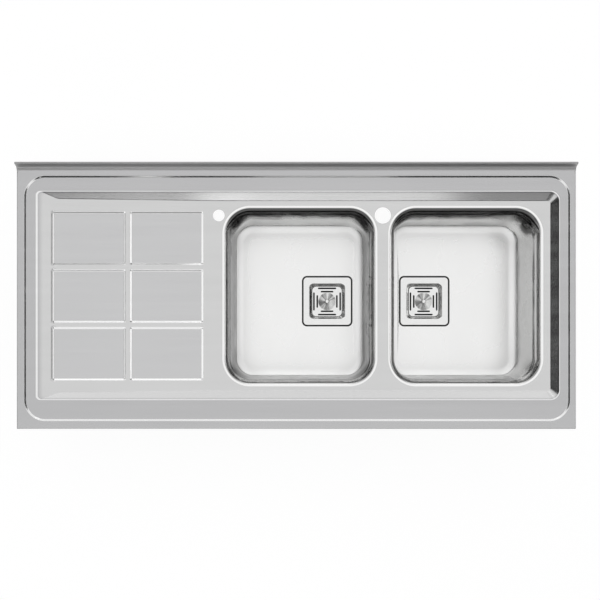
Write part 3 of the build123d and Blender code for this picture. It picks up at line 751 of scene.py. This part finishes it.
class TopSheet(Skin):
    """The sink top's mesh, with the places that follow from its sizes and from the frame."""

    def __init__(self, sizes):
        super().__init__()
        s = self.sizes = sizes
        self.left, self.right, self.front, self.rear, self.upstand_z = top_spans()
        self.deck_z = s.skirt_height - s.step_drop
        self.floor_z = self.deck_z - s.recess_depth
        self.mouth = (
            self.left + s.recess_left,
            self.right - s.recess_right,
            self.front + s.recess_front,
            self.rear - s.recess_rear,
        )
        self.bowls = [bowl_spans(side) for side in SIDES]
        self.fall_end = self.bowls[0][0] - s.fall_to_bowl
        # Shares of the way down the recess's wall: close together at its mouth, and on past its foot
        self.shares = np.concatenate([[-0.16], np.arange(-0.08, 0.09, 0.02), np.arange(0.11, 1.2, 0.03)])

    def floor(self, x, y):
        """Recess floor: level under the bowls, rising evenly to the left from the end of the fall."""
        slope = self.sizes.drainer_fall / (self.fall_end - self.mouth[0] - self.sizes.left_run)
        return self.floor_z + np.maximum(0, self.fall_end - x) * slope

    def wall_height(self, down, ground):
        """Recess wall: an even drop for each share of the way down, eased at both ends, down to the floor."""
        mouth_ease, foot_ease = 0.75 * MM, 1.3 * MM
        drop = ease(self.sizes.recess_depth * down, mouth_ease)
        return ground + ease(self.deck_z - drop - ground, foot_ease)

    def way_down(self, x, y):
        """Share of the way down the wall round the drainer, found by halving: each share has its own rounded
        outline, and the last one that holds the point is taken.
        """
        s, mouth = self.sizes, self.mouth
        beside = np.minimum(y - mouth[2], mouth[3] - y)
        low, high = -0.4, np.minimum((x - mouth[0]) / s.left_run, beside / s.side_run)
        for _ in range(40):
            guess = (low + high) / 2
            radius = s.left_corner * (1 - guess / 2)
            across = np.maximum(radius - (x - mouth[0] - guess * s.left_run), 0)
            along = np.maximum(radius - (beside - guess * s.side_run), 0)
            holds = across**2 + along**2 <= radius**2
            low, high = np.where(holds, guess, low), np.where(holds, high, guess)
        return low

    def step(self):
        """Step of the border: an even drop across its run, with a parabola at each bend, carried round.

        Returns its outer and its inner outline.
        """
        s = self.sizes
        away = MM * np.array([0.5, 1.75, 1.88, 2, 2.12, 2.25, 4.5])
        inward = np.concatenate([-away[::-1], away])
        drop = ease(inward + s.step_run / 2, s.step_ease) - ease(inward - s.step_run / 2, s.step_ease)
        plan = outlines(
            self.left + s.border_left + inward,
            self.right - s.border_right - inward,
            self.front + s.border_front + inward,
            self.rear - s.border_rear - inward,
            (s.border_corner - inward)[:, None],
        )
        points = lifted(plan, s.skirt_height - s.step_drop * (drop / s.step_run)[:, None])
        self.grid(points[:4])
        self.grid(points[3:11], finish=EDGE)
        self.grid(points[10:])
        return plan[0], plan[-1]

    def recess_wall(self):
        """Recess wall round the bowls: straight rules from mouth to foot, eased at mouth and floor.

        Returns its plan, which starts and ends at the drainer.
        """
        s, mouth, t = self.sizes, self.mouth, self.shares
        run, arc = 40, 14
        plan = outlines(
            self.fall_end,
            mouth[1] - t * s.right_run,
            mouth[2] + t * s.side_run,
            mouth[3] - t * s.side_run,
            np.array([1, 1, 0, 0]) * s.right_corner * (1 - t / 2)[:, None],
            side=run,
            corner=arc,
        )
        plan = np.roll(plan, run, 1)[:, : 3 * run + 2 * arc + 1]
        points = lifted(plan, self.wall_height(t[:, None], self.floor_z))
        first, last = np.searchsorted(t + 0.001, [-BRIGHT_EDGE_SHARE, BRIGHT_EDGE_SHARE])
        self.grid(points[: first + 1], closed=False)
        self.grid(points[first : last + 1], closed=False, finish=EDGE)
        self.grid(points[last:], closed=False)
        return plan

    def drainer(self):
        """Drainer: one grid from the deck to the end of the fall, with lines along the pads' edges.

        A pad is a raised top with an eased slope along its outline, and the wall is cut clear of it all
        round. Returns the grid's plan.
        """
        s, mouth, t, bowl = self.sizes, self.mouth, self.shares, self.bowls[0]
        bend, trench, trench_side = 0.3 * MM, 2.6 * MM, 1.7 * MM
        pads_right = bowl[0] - s.pads_to_bowl
        pads_x = pads_right - s.pad_length / 2 - np.arange(2) * (s.pad_length + s.pad_gap)
        pads_y = (bowl[2] + bowl[3]) / 2 + np.arange(-1, 2) * (s.pad_width + s.pad_gap)
        inward = MM * np.array([-2.6, -1.7, -0.9, -0.3, 0, 0.3, 2.0, 3.7, 4.0, 4.3, 5.4])

        def lines(walls, middles, half):
            """Grid lines of the walls and of the pads: along both edges of each, and a few between."""
            between = half * np.linspace(-0.8, 0.8, 5)
            steps = np.concatenate([inward - half, between, half - inward])
            return np.unique(np.concatenate([*walls, (middles[:, None] + steps).ravel()]))

        x = lines([mouth[0] + t * s.left_run, [self.fall_end]], pads_x, s.pad_length / 2)
        x = np.unique(x.round(4))
        x[-1] = self.fall_end
        y = lines([mouth[2] + t * s.side_run, mouth[3] - t * s.side_run], pads_y, s.pad_width / 2)
        x, y = np.meshgrid(x, y)
        # Distance inside the nearest pad's outline, below 0 outside it
        inside = np.full(x.shape, -1.0)
        for pad_x in pads_x:
            for pad_y in pads_y:
                over = np.stack([abs(x - pad_x) - s.pad_length / 2, abs(y - pad_y) - s.pad_width / 2])
                over = over + s.pad_corner
                beyond = np.linalg.norm(np.maximum(over, 0), axis=0) + np.minimum(over.max(0), 0)
                inside = np.maximum(inside, s.pad_corner - beyond)
        rise = (ease(inside, bend) - ease(inside - s.pad_run, bend)) / s.pad_run
        clear = np.clip((inside + trench) / trench_side, 0, 1)
        down, ground = self.way_down(x, y), self.floor(x, y)
        height = self.wall_height(down, ground)
        height = height + clear * (ground - height) + s.pad_height * rise
        depth, margin = face_middles(inside), 0.2 * MM
        finish = np.where(abs(face_middles(down)) < BRIGHT_EDGE_SHARE - 0.001, EDGE, PLAIN)
        finish = np.where(depth > -margin, EDGE, finish)
        finish = np.where(depth > s.pad_run + margin, PAD, finish)
        self.grid(np.stack([x, y, height], -1), closed=False, finish=finish.ravel())
        return np.stack([x, y], -1)

    def flats(self, step, wall, drainer, bowl_corner):
        """Deck and recess floor, filled between their outlines, with bowls and round holes left open."""
        s, bowls, rows = self.sizes, self.bowls, len(self.shares)
        rims = [outlines(*span, bowl_corner)[0] for span in bowls]
        hole_y = self.mouth[3] - s.holes_to_recess
        tap_x = (bowls[0][1] + bowls[1][0]) / 2
        accessory_x = bowls[0][0] - s.accessory_to_bowl
        tap = (tap_x, hole_y) + circle(72) * s.tap_hole / 2
        accessory = (accessory_x, hole_y) + circle(72) * s.accessory_hole / 2
        seam = drainer[rows:-rows, -1][::-1]
        self.fill([np.concatenate([wall[-1], seam]), *rims, tap, accessory], self.floor)
        recess = np.concatenate([wall[0], drainer[-1, -2::-1], drainer[-2::-1, 0], drainer[0, 1:-1]])
        self.fill([step, recess], self.deck_z)

    def upstand(self):
        """Upstand: border, cove, leaning face, folded top and back, drawn across and carried along the wall.

        Returns its profile, and its places along the wall.
        """
        s, edge, border_z = self.sizes, self.sizes.edge_radius, self.sizes.skirt_height
        lip = self.rear - s.upstand_top
        profile = rounded(
            [
                (lip - s.upstand_lean - 2 * s.cove_radius, border_z),
                (lip - s.upstand_lean, border_z),
                (lip, self.upstand_z),
                (self.rear, self.upstand_z),
                (self.rear, border_z - edge),
            ],
            [s.cove_radius, s.upstand_radius, s.upstand_radius],
            steps=12,
            rest=0.25 * MM,
        )[1:]
        along = np.linspace(self.left + edge, self.right - edge, 40)
        along = np.concatenate([[self.left], along, [self.right]])
        points = np.broadcast_arrays(along[None], profile[:, :1], profile[:, 1:])
        self.grid(np.stack(points, -1), closed=False, finish=UPSTAND)
        return profile, along

    def skirt(self, step, profile, along):
        """Skirt and seat: flange, bottom bend, skirt and top bend, carried round the edge; then the border
        between bend and step, and the upstand's two ends.
        """
        s, edge, border_z, arc = self.sizes, self.sizes.edge_radius, self.sizes.skirt_height, 6
        left, right, front, rear = self.left, self.right, self.front, self.rear
        cove_y = profile[0, 0]
        share = (cove_y - front - edge) / (rear - front - edge)
        places = np.unique(np.concatenate([np.linspace(0, 1, 25)[1:-1], [share, 1 - share]]))
        quarter = np.linspace(0, pi / 2, arc + 1)
        front_corners = np.array([1, 0, 0, 1])
        inset = np.concatenate([[s.seat_width, 2 * MM], s.sheet * (1 - np.sin(quarter)), [0, 0]])
        level = np.concatenate([[0, 0], s.sheet * (1 - np.cos(quarter)), [2 * MM, border_z - edge]])
        radii = front_corners * (edge - inset)[:, None]
        skirt = outlines(left + inset, right - inset, front + inset, rear - inset, radii, places, arc)
        self.grid(lifted(skirt, level[:, None]))
        inset = np.append(edge * (1 - np.cos(quarter)), edge + MM)
        level = np.append(border_z - edge * (1 - np.sin(quarter)), border_z)
        radii = front_corners * (edge - inset)[:, None]
        bend = outlines(left + inset, right - inset, front + inset, rear, radii, places, arc)
        bend = np.roll(bend, -(3 * (arc + 1) + 2 * len(places)), 1)
        bend = lifted(bend[:, bend[0, :, 1] < cove_y + 1e-6], level[:, None])
        self.grid(bend, closed=False)
        seam = along[-2:0:-1, None] * [1, 0] + [0, cove_y]
        self.fill([np.concatenate([bend[-1, :, :2], seam]), step], border_z)
        for end, column, order in ((left, 0, 1), (right, -1, -1)):
            cap = np.append(profile, [[cove_y, border_z - edge]], 0)
            cap = np.insert(cap, 0, end, 1)
            notch = np.append([[end, cove_y, border_z]], bend[:, column], 0)
            self.polygon(cap[::order])
            self.polygon(notch[::order])


class SINK_OT_top(Operator):
    """Sink top: border with its step, recess with the drainer's pads, upstand, skirt and seat"""

    bl_idname = "sink.top"
    bl_label = "Sink top"

    def execute(self, context):
        s, colours = context.scene.sink_top, context.scene.sink_finish
        top = TopSheet(s)
        outer, inner = top.step()
        wall = top.recess_wall()
        top.flats(inner, wall, top.drainer(), context.scene.sink_bowl.corner)
        top.skirt(outer, *top.upstand())
        # Border, recess and pad tones of one sheet are painted light and shade; the edges' brighter tone is a
        # painted highlight on glossier steel
        steels = (
            ("brushed_top_steel", colours.border_steel, colours.recess_steel, colours.top_gloss, 1.0),
            ("brushed_pad_steel", colours.pad_steel, colours.pad_steel, colours.top_gloss, 1.0),
            ("polished_edge_steel_painted_highlight", colours.edge_highlight_steel, colours.edge_highlight_steel, colours.edge_gloss, 1.0),
            ("dull_upstand_steel", colours.upstand_steel, colours.upstand_steel, colours.upstand_gloss, 0.0),
        )
        finishes = [top_steel(top.deck_z, *steel) for steel in steels]
        top.piece("sink_top", finishes, "sink", "satin_steel", ["deck"], s.sheet)
        return {"FINISHED"}


class SINK_OT_bowls(Operator):
    """Bowls: rolled rim, tapered walls, rounded foot, and a floor that falls to the flange's seat"""

    bl_idname = "sink.bowls"
    bl_label = "Bowls"

    def execute(self, context):
        s, w, colours = context.scene.sink_bowl, context.scene.sink_waste, context.scene.sink_finish
        # Near-black steel in the groove round the strainer's flange: painted shade
        painted_shade_groove_steel = bright_steel(colours, "painted_shade_groove_steel", 0.4, 0.06)
        back_steel = bright_steel(colours, "bowl_back_steel", 0.3, 0.6)
        end_x = top_spans()[1]
        for side in SIDES:
            left, right, front, rear = bowl_spans(side)
            axis, drain_z = waste_axis(side)
            rim_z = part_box(f"{side}_bowl")[1].z
            floor_z = rim_z - s.depth
            draft = s.depth * tan(s.draft)
            foot = s.rim_radius + draft + s.floor_radius * tan(radians(45) - s.draft / 2)
            # Section from rim to floor as inset and height, carried round the bowl's outline
            section = rounded(
                [
                    (0, rim_z),
                    (s.rim_radius, rim_z),
                    (s.rim_radius + draft, floor_z),
                    (foot + s.floor_margin, floor_z),
                ],
                [s.rim_radius - 0.3 * MM, s.floor_radius],
                steps=16,
                rest=0.3 * MM,
            )
            inset, level = section.T
            radii = (s.corner - inset)[:, None]
            wall = outlines(left + inset, right - inset, front + inset, rear - inset, radii)
            bowl = Skin()
            bowl.grid(lifted(wall, level[:, None]), finish=WALL)
            # Floor: straight rules from the foot's outline down to the apron
            inner = inset[-1]
            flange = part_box(f"{side}_strainer_body")
            half = (flange[1].x - flange[0].x) / 2
            at = np.concatenate([[0, 0.03, 0.06], np.linspace(0.1, 0.9, 9), [0.94, 0.97, 1]])
            spans = np.array([left + inner, right - inner, front + inner, rear - inner])
            apron = np.repeat(axis, 2) + np.array([-1, 1, -1, 1]) * s.apron / 2
            spans = spans + at[:, None] * (apron - spans)
            radii = s.corner - inner + at * (s.apron_corner - s.corner + inner)
            fall = outlines(*spans.T, radii[:, None])
            bowl.grid(lifted(fall, (floor_z - s.floor_fall * at)[:, None]), finish=WALL)
            # Seat: the apron's edge bends down round the flange
            groove, seat_z, overlap = half + s.flange_gap, drain_z - s.seat_drop, 8 * MM
            seat = rounded(
                [(s.apron / 2, drain_z), (groove, drain_z), (groove, seat_z), (half - overlap, seat_z)],
                [1.3 * MM, 0.5 * MM],
                steps=6,
                rest=0.1 * MM,
            )
            reach, level = seat.T
            corner = np.interp(reach, [half, s.apron / 2], [w.flange_corner, s.apron_corner])
            ring = squares(axis, reach, corner)
            bowl.grid(lifted(ring, level[:, None]), finish=GROOVE)
            sheet = context.scene.sink_top.sheet
            centre = ((left + right) / 2, (front + rear) / 2)
            steel = bowl_steel(colours, f"{side}_bowl_steel", centre, rim_z, floor_z, end_x)
            finishes = [steel, painted_shade_groove_steel, back_steel, back_steel]
            bowl.piece(f"{side}_bowl_shell", finishes, "sink", "satin_steel", [f"{side}_bowl"], sheet, back=2)
        return {"FINISHED"}


class SINK_OT_strainers(Operator):
    """Strainer cups: flange, rolled mouth, sloping cup, ledge for the tray, and well with its outlet"""

    bl_idname = "sink.strainers"
    bl_label = "Strainer cups"

    def execute(self, context):
        w, colours = context.scene.sink_waste, context.scene.sink_finish
        steel = bright_steel(colours)
        # The cup's slope and the well below the tray are darkened steel: painted shade
        slope = bright_steel(colours, "painted_shade_cup_steel", 0.05, 0.13)
        inner = bright_steel(colours, "painted_shade_well_steel", 0.3, 0.06)
        for side in SIDES:
            axis, top_z = waste_axis(side)
            low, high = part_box(f"{side}_strainer_body")
            half = (high.x - low.x) / 2
            ledge_z = top_z - w.cup_depth
            well_z = ledge_z - w.well_depth
            # Section from the flange's edge to the outlet as half side and height, carried round a square
            section = rounded(
                [
                    (half, top_z - w.sheet),
                    (half, top_z),
                    (w.cup_opening / 2 + 0.4 * MM, top_z),
                    (w.ledge / 2, ledge_z),
                    (w.well / 2, ledge_z),
                    (w.well / 2, well_z),
                    (w.outlet / 2, well_z),
                ],
                [0.95 * MM, w.cup_roll, 0.8 * MM, 0.8 * MM, 3 * MM],
                steps=7,
                rest=0.1 * MM,
            )
            reach, level = section.T
            corner = np.interp(
                reach,
                [w.outlet / 2, w.well / 2, w.ledge / 2, w.cup_opening / 2, half],
                [w.outlet / 2, w.well_corner, w.cup_corner, w.cup_corner, w.flange_corner],
            )
            ring = lifted(squares(axis, reach, corner, 16, 12), level[:, None])
            # Rows where the finish changes: the flange's bent edge, the cup's mouth and its ledge
            rim = np.searchsorted(-reach, 0.9 * MM - half)
            mouth = np.searchsorted(-reach, 0.3 * MM - w.cup_opening / 2)
            inside = np.searchsorted(-level, 0.3 * MM - ledge_z)
            cup = Skin()
            # The flange's bent edge takes the well's dark steel: painted shade
            cup.grid(ring[: rim + 1], finish=WELL)
            cup.grid(ring[rim : mouth + 1], finish=FLANGE)
            cup.grid(ring[mouth : inside + 1], finish=SLOPE)
            cup.grid(ring[inside:], finish=WELL)
            finishes, replaced = [steel, slope, inner], [f"{side}_strainer_body"]
            cup.piece(f"{side}_strainer_cup", finishes, "sink", "bright_steel", replaced, 0.9 * w.sheet)
        return {"FINISHED"}


class SINK_OT_trays(Operator):
    """Strainer trays: slotted plate with a round dish spun into its middle"""

    bl_idname = "sink.trays"
    bl_label = "Strainer trays"

    def execute(self, context):
        w, colours = context.scene.sink_waste, context.scene.sink_finish
        finishes = [bright_steel(colours, "tray_steel", 0.05), spun_steel(colours)]
        for side in SIDES:
            low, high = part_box(f"{side}_strainer_tray")
            axis = np.array([(low.x + high.x) / 2, (low.y + high.y) / 2])
            half, top_z, edge = (high.x - low.x) / 2, high.z, 0.3 * MM
            tray = Skin()
            quarter = np.linspace(0, pi / 2, 5)
            reach = np.concatenate([half - edge * (1 - np.cos(quarter)), [half - 1.2 * MM]])
            level = np.concatenate([top_z - edge * (1 - np.sin(quarter)), [top_z]])
            rim = squares(axis, reach, w.tray_corner - half + reach, 12, 10)
            tray.grid(lifted(rim, level[:, None]), finish=PLATE)
            # Slots: long outlines with round ends, one on each side of the square at two distances
            slots, thin = [], w.slot_width / 2
            for place, extent in ((w.outer_place, w.outer_slot / 2), (w.inner_place, w.inner_slot / 2)):
                along_y, along_x = (thin, extent), (extent, thin)
                spots = (
                    ((place, 0), along_y),
                    ((-place, 0), along_y),
                    ((0, place), along_x),
                    ((0, -place), along_x),
                )
                for spot, (wide, deep) in spots:
                    x, y = axis + spot
                    slots.append(outlines(x - wide, x + wide, y - deep, y + deep, thin, 10, 6)[0])
            # Dish: part of a sphere with an eased edge, turned round the axis
            ball = w.dish**2 / (8 * w.dish_depth) + w.dish_depth / 2
            dish = w.dish / 2
            edge = dish + MM * np.linspace(0.7, -0.7, 7)
            inner = np.linspace(dish - 2 * MM, w.stem_hole / 2, 18)
            radius = np.concatenate([[dish + 1.2 * MM], edge, inner])
            hollow = np.sqrt(ball**2 - radius**2) - (ball - w.dish_depth)
            grid = turned(np.stack([radius, top_z - ease(hollow, 0.2 * MM)], -1), axis, 96)
            tray.fill([rim[-1], *slots, grid[0, :, :2]], top_z)
            tray.grid(grid, finish=DISH)
            body, replaced = f"{side}_tray", [f"{side}_strainer_tray"]
            piece = tray.piece(f"{side}_tray_plate", finishes, body, "bright_steel", replaced, w.sheet)
            # Map of the spun finish: each point's place from the axis
            loops = np.zeros(len(piece.data.loops), np.int32)
            piece.data.loops.foreach_get("vertex_index", loops)
            points = np.zeros(3 * len(piece.data.vertices), np.float32)
            piece.data.vertices.foreach_get("co", points)
            plan = points.reshape(-1, 3)[loops, :2] - axis
            piece.data.uv_layers.new(name="axis").data.foreach_set("uv", plan.astype(np.float32).ravel())
        return {"FINISHED"}


class SINK_OT_plugs(Operator):
    """Plugs: knob and stem turned in one piece, over a rubber seal with its nut and clip"""

    bl_idname = "sink.plugs"
    bl_label = "Plugs"

    def execute(self, context):
        w, colours = context.scene.sink_waste, context.scene.sink_finish
        steel = bright_steel(colours, "knob_steel")
        for side in SIDES:
            low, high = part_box(f"{side}_plug_stem")
            axis = ((low.x + high.x) / 2, (low.y + high.y) / 2)
            collar_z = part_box(f"{side}_plug_seal")[1].z
            knob_z = high.z - w.knob_height
            # Half section from the stem's foot to the knob's crown as radius and height
            section = rounded(
                [
                    (0, low.z),
                    (w.stem_foot / 2, low.z),
                    (w.stem_foot / 2, collar_z),
                    (w.collar / 2, collar_z),
                    (w.collar / 2, collar_z + w.collar_height),
                    (w.stem / 2, collar_z + w.collar_height),
                    (w.stem / 2, knob_z),
                    (w.knob / 2, knob_z),
                    (w.knob / 2, high.z),
                    (0, high.z),
                ],
                np.array([0.3, 0.1, 0.2, 0.6, 0.8, 0.4, 0.7, 2.4]) * MM,
                steps=8,
                rest=0.05 * MM,
            )
            plug = Skin()
            plug.grid(turned(section, axis))
            plug.piece(f"{side}_plug_knob", [steel], f"{side}_plug", "bright_steel", [f"{side}_plug_stem"])
        repaint(rubber(colours), *(f"{side}_plug_seal" for side in SIDES))
        repaint(steel, *(f"{side}_{name}" for side in SIDES for name in ("plug_nut", "plug_clip")))
        return {"FINISHED"}


class SINK_OT_wastes(Operator):
    """Waste bodies, seals and clamping screws under the bowls"""

    bl_idname = "sink.wastes"
    bl_label = "Waste bodies"

    def execute(self, context):
        colours = context.scene.sink_finish
        repaint(plastic(colours), *(f"{side}_waste_body" for side in SIDES))
        seals = [f"{side}_{name}" for side in SIDES for name in ("flange_seal", "under_seal")]
        repaint(rubber(colours), *seals)
        repaint(bright_steel(colours, "screw_steel", 0.08), *(f"{side}_strainer_screws" for side in SIDES))
        return {"FINISHED"}


class SINK_OT_underside(Operator):
    """Stiffening rails, fixing brackets and sound-deadening pads"""

    bl_idname = "sink.underside"
    bl_label = "Underside"

    def execute(self, context):
        colours = context.scene.sink_finish
        rails = [f"{place}_rail" for place in ("front", "rear", "left", "right", "drainer")]
        repaint(zinc(colours), *rails, "fixing_brackets")
        repaint(deadener(colours), "drainer_deadeners", *(f"{side}_bowl_deadeners" for side in SIDES))
        return {"FINISHED"}


class SINK_OT_stage(Operator):
    """White floor and backdrop, soft lamps, and a camera straight above the sink"""

    bl_idname = "sink.stage"
    bl_label = "Stage"

    def lamp(self, name, place, facing, wide, tall, radiance):
        """A flat lamp that faces one way. Its watts are radiance times pi times its area."""
        data = bpy.data.lights.new(name, "AREA")
        data.shape, data.size, data.size_y = "RECTANGLE", wide, tall
        data.energy = radiance * pi * wide * tall
        lamp = bpy.data.objects.new(name, data)
        lamp.location = place
        lamp.rotation_euler = Vector(facing).to_track_quat("-Z", "Y").to_euler()
        lamp.visible_camera = False
        bpy.context.scene.collection.objects.link(lamp)

    def surround(self, height):
        """A wide white floor that keeps a faint shadow, and a round backdrop that fades upwards from it.

        Camera, mirror and transmitted rays see them white; other rays see a plain pale surface.
        """
        half, radius, tall, fade_top, fade_foot = 60.0, 50.0, 45.0, 42.0, 12.0
        start = Finish("white_floor")
        rays = ("Is Camera Ray", "Is Glossy Ray", "Is Transmission Ray")
        camera, mirror, through = (start.node("ShaderNodeLightPath", output=ray) for ray in rays)
        seen = camera + mirror + through
        plain = start.node("ShaderNodeBsdfDiffuse", {}, {"Color": (0.8, 0.8, 0.8, 1)})
        shadow = start.node("ShaderNodeBsdfDiffuse", {}, {"Color": (0.14, 0.14, 0.14, 1)})
        level = start.part(start.place(), "Z")
        glow = start.tones(start.band(level, fade_top, fade_foot), (1, 1, 1), 0.0, 0.92)
        glow = start.node("ShaderNodeEmission", {}, {"Color": glow, "Strength": 1.0})
        white = start.node("ShaderNodeAddShader", {}, {0: shadow, 1: glow})
        material = start.show(start.node("ShaderNodeMixShader", {}, {0: seen, 1: plain, 2: white}))
        corners = half * np.array([[-1, -1], [1, -1], [1, 1], [-1, 1]])
        wall = Skin()
        wall.grid(turned(np.array([[radius, height + tall], [radius, height]]), (0, 0)))
        surfaces = (
            ("floor", lifted(corners, height), [(0, 1, 2, 3)]),
            ("backdrop", wall.points[0], wall.faces),
        )
        for name, points, faces in surfaces:
            mesh = bpy.data.meshes.new(name)
            mesh.from_pydata(points, [], faces)
            mesh.materials.append(material)
            surface = bpy.data.objects.new(name, mesh)
            bpy.context.scene.collection.objects.link(surface)

    def execute(self, context):
        s = context.scene.sink_stage
        scene = context.scene
        scene.view_settings.view_transform = "Standard"
        data = bpy.data.cameras.new("camera")
        data.lens, data.sensor_width, data.shift_x, data.shift_y = s.lens, 36.0, s.shift_x, s.shift_y
        camera = bpy.data.objects.new("camera", data)
        camera.location = (0, s.camera_y, s.camera_height)
        scene.collection.objects.link(camera)
        scene.camera = camera
        self.surround(CAD_BOX[0][2] - s.floor_drop)
        down, to_front, to_rear, to_right, to_left = (0, 0, -1), (0, -1, 0), (0, 1, 0), (1, 0, 0), (-1, 0, 0)
        self.lamp("overhead_lamp", (0, 1.1, 10), down, 11.2, 15.8, s.overhead)
        self.lamp("right_overhead_lamp", (11, 0.4, 10), down, 6.0, 12.4, s.overhead)
        self.lamp("left_overhead_lamp", (-15.2, 0.4, 10), down, 5.4, 12.4, s.overhead)
        self.lamp("rear_strip", (0, 1.2, 1.6), to_front, 3.6, 0.6, 1.0 * s.cards)
        self.lamp("rear_card", (0, 1.2, 1.15), to_front, 3.6, 0.3, 1.0 * s.cards)
        self.lamp("front_card", (0.12, -1.5, 1.34), to_rear, 1.1, 0.28, 1.4 * s.cards)
        self.lamp("front_dim_card", (0, -1.5, 1.30), to_rear, 2.6, 0.30, 0.5 * s.cards)
        self.lamp("front_strip", (-0.67, -1.5, 1.5), to_rear, 0.12, 0.6, 1.2 * s.cards)
        self.lamp("front_low_card", (-0.6, -1.5, 0.97), to_rear, 0.84, 0.64, 1.2 * s.cards)
        self.lamp("front_high_card", (0.13, -1.5, 1.7), to_rear, 0.6, 0.24, 0.5 * s.cards)
        self.lamp("left_low_card", (-1.8, -0.18, 0.62), to_right, 0.8, 0.66, 0.4 * s.cards)
        self.lamp("left_card", (-1.8, -0.08, 1.05), to_right, 0.46, 1.1, 0.15 * s.cards)
        self.lamp("right_card", (1.8, -0.13, 0.9), to_left, 1.0, 0.6, 0.9 * s.cards)
        self.lamp("right_high_card", (1.8, -0.13, 2.1), to_left, 1.0, 1.0, 0.2 * s.cards)
        world = bpy.data.worlds.new("room")
        world.use_nodes = True
        world.node_tree.nodes["Background"].inputs["Color"].default_value = (s.room, s.room, s.room, 1)
        scene.world = world
        return {"FINISHED"}


class SINK_PT_pieces(Panel):
    """Lists the sink's pieces and the sizes and colours they are made from."""

    bl_idname = "SINK_PT_pieces"
    bl_label = "Kitchen sink"
    bl_space_type = "VIEW_3D"
    bl_region_type = "UI"
    bl_category = "Sink"

    def draw(self, context):
        for operator in OPERATORS:
            self.layout.operator(operator.bl_idname)
        for name in GROUPS:
            group = getattr(context.scene, name)
            box = self.layout.box()
            for field in group.bl_rna.properties.keys():
                if field not in ("rna_type", "name"):
                    box.prop(group, field)


GROUPS = {
    "sink_top": SinkTopSizes,
    "sink_bowl": BowlSizes,
    "sink_waste": WasteSizes,
    "sink_finish": Finishes,
    "sink_stage": StageSettings,
}
OPERATORS = (
    SINK_OT_stage,
    SINK_OT_top,
    SINK_OT_bowls,
    SINK_OT_strainers,
    SINK_OT_trays,
    SINK_OT_plugs,
    SINK_OT_wastes,
    SINK_OT_underside,
)


def register():
    for kind in (*GROUPS.values(), *OPERATORS, SINK_PT_pieces):
        bpy.utils.register_class(kind)
    for name, kind in GROUPS.items():
        setattr(bpy.types.Scene, name, PointerProperty(type=kind))


def unregister():
    for name in GROUPS:
        delattr(bpy.types.Scene, name)
    for kind in (SINK_PT_pieces, *reversed(OPERATORS), *reversed(GROUPS.values())):
        bpy.utils.unregister_class(kind)


def main():
    register()
    bpy.ops.sink.stage()
    bpy.ops.sink.top()
    bpy.ops.sink.bowls()
    bpy.ops.sink.strainers()
    bpy.ops.sink.trays()
    bpy.ops.sink.plugs()
    bpy.ops.sink.wastes()
    bpy.ops.sink.underside()


if __name__ == "__main__":
    main()
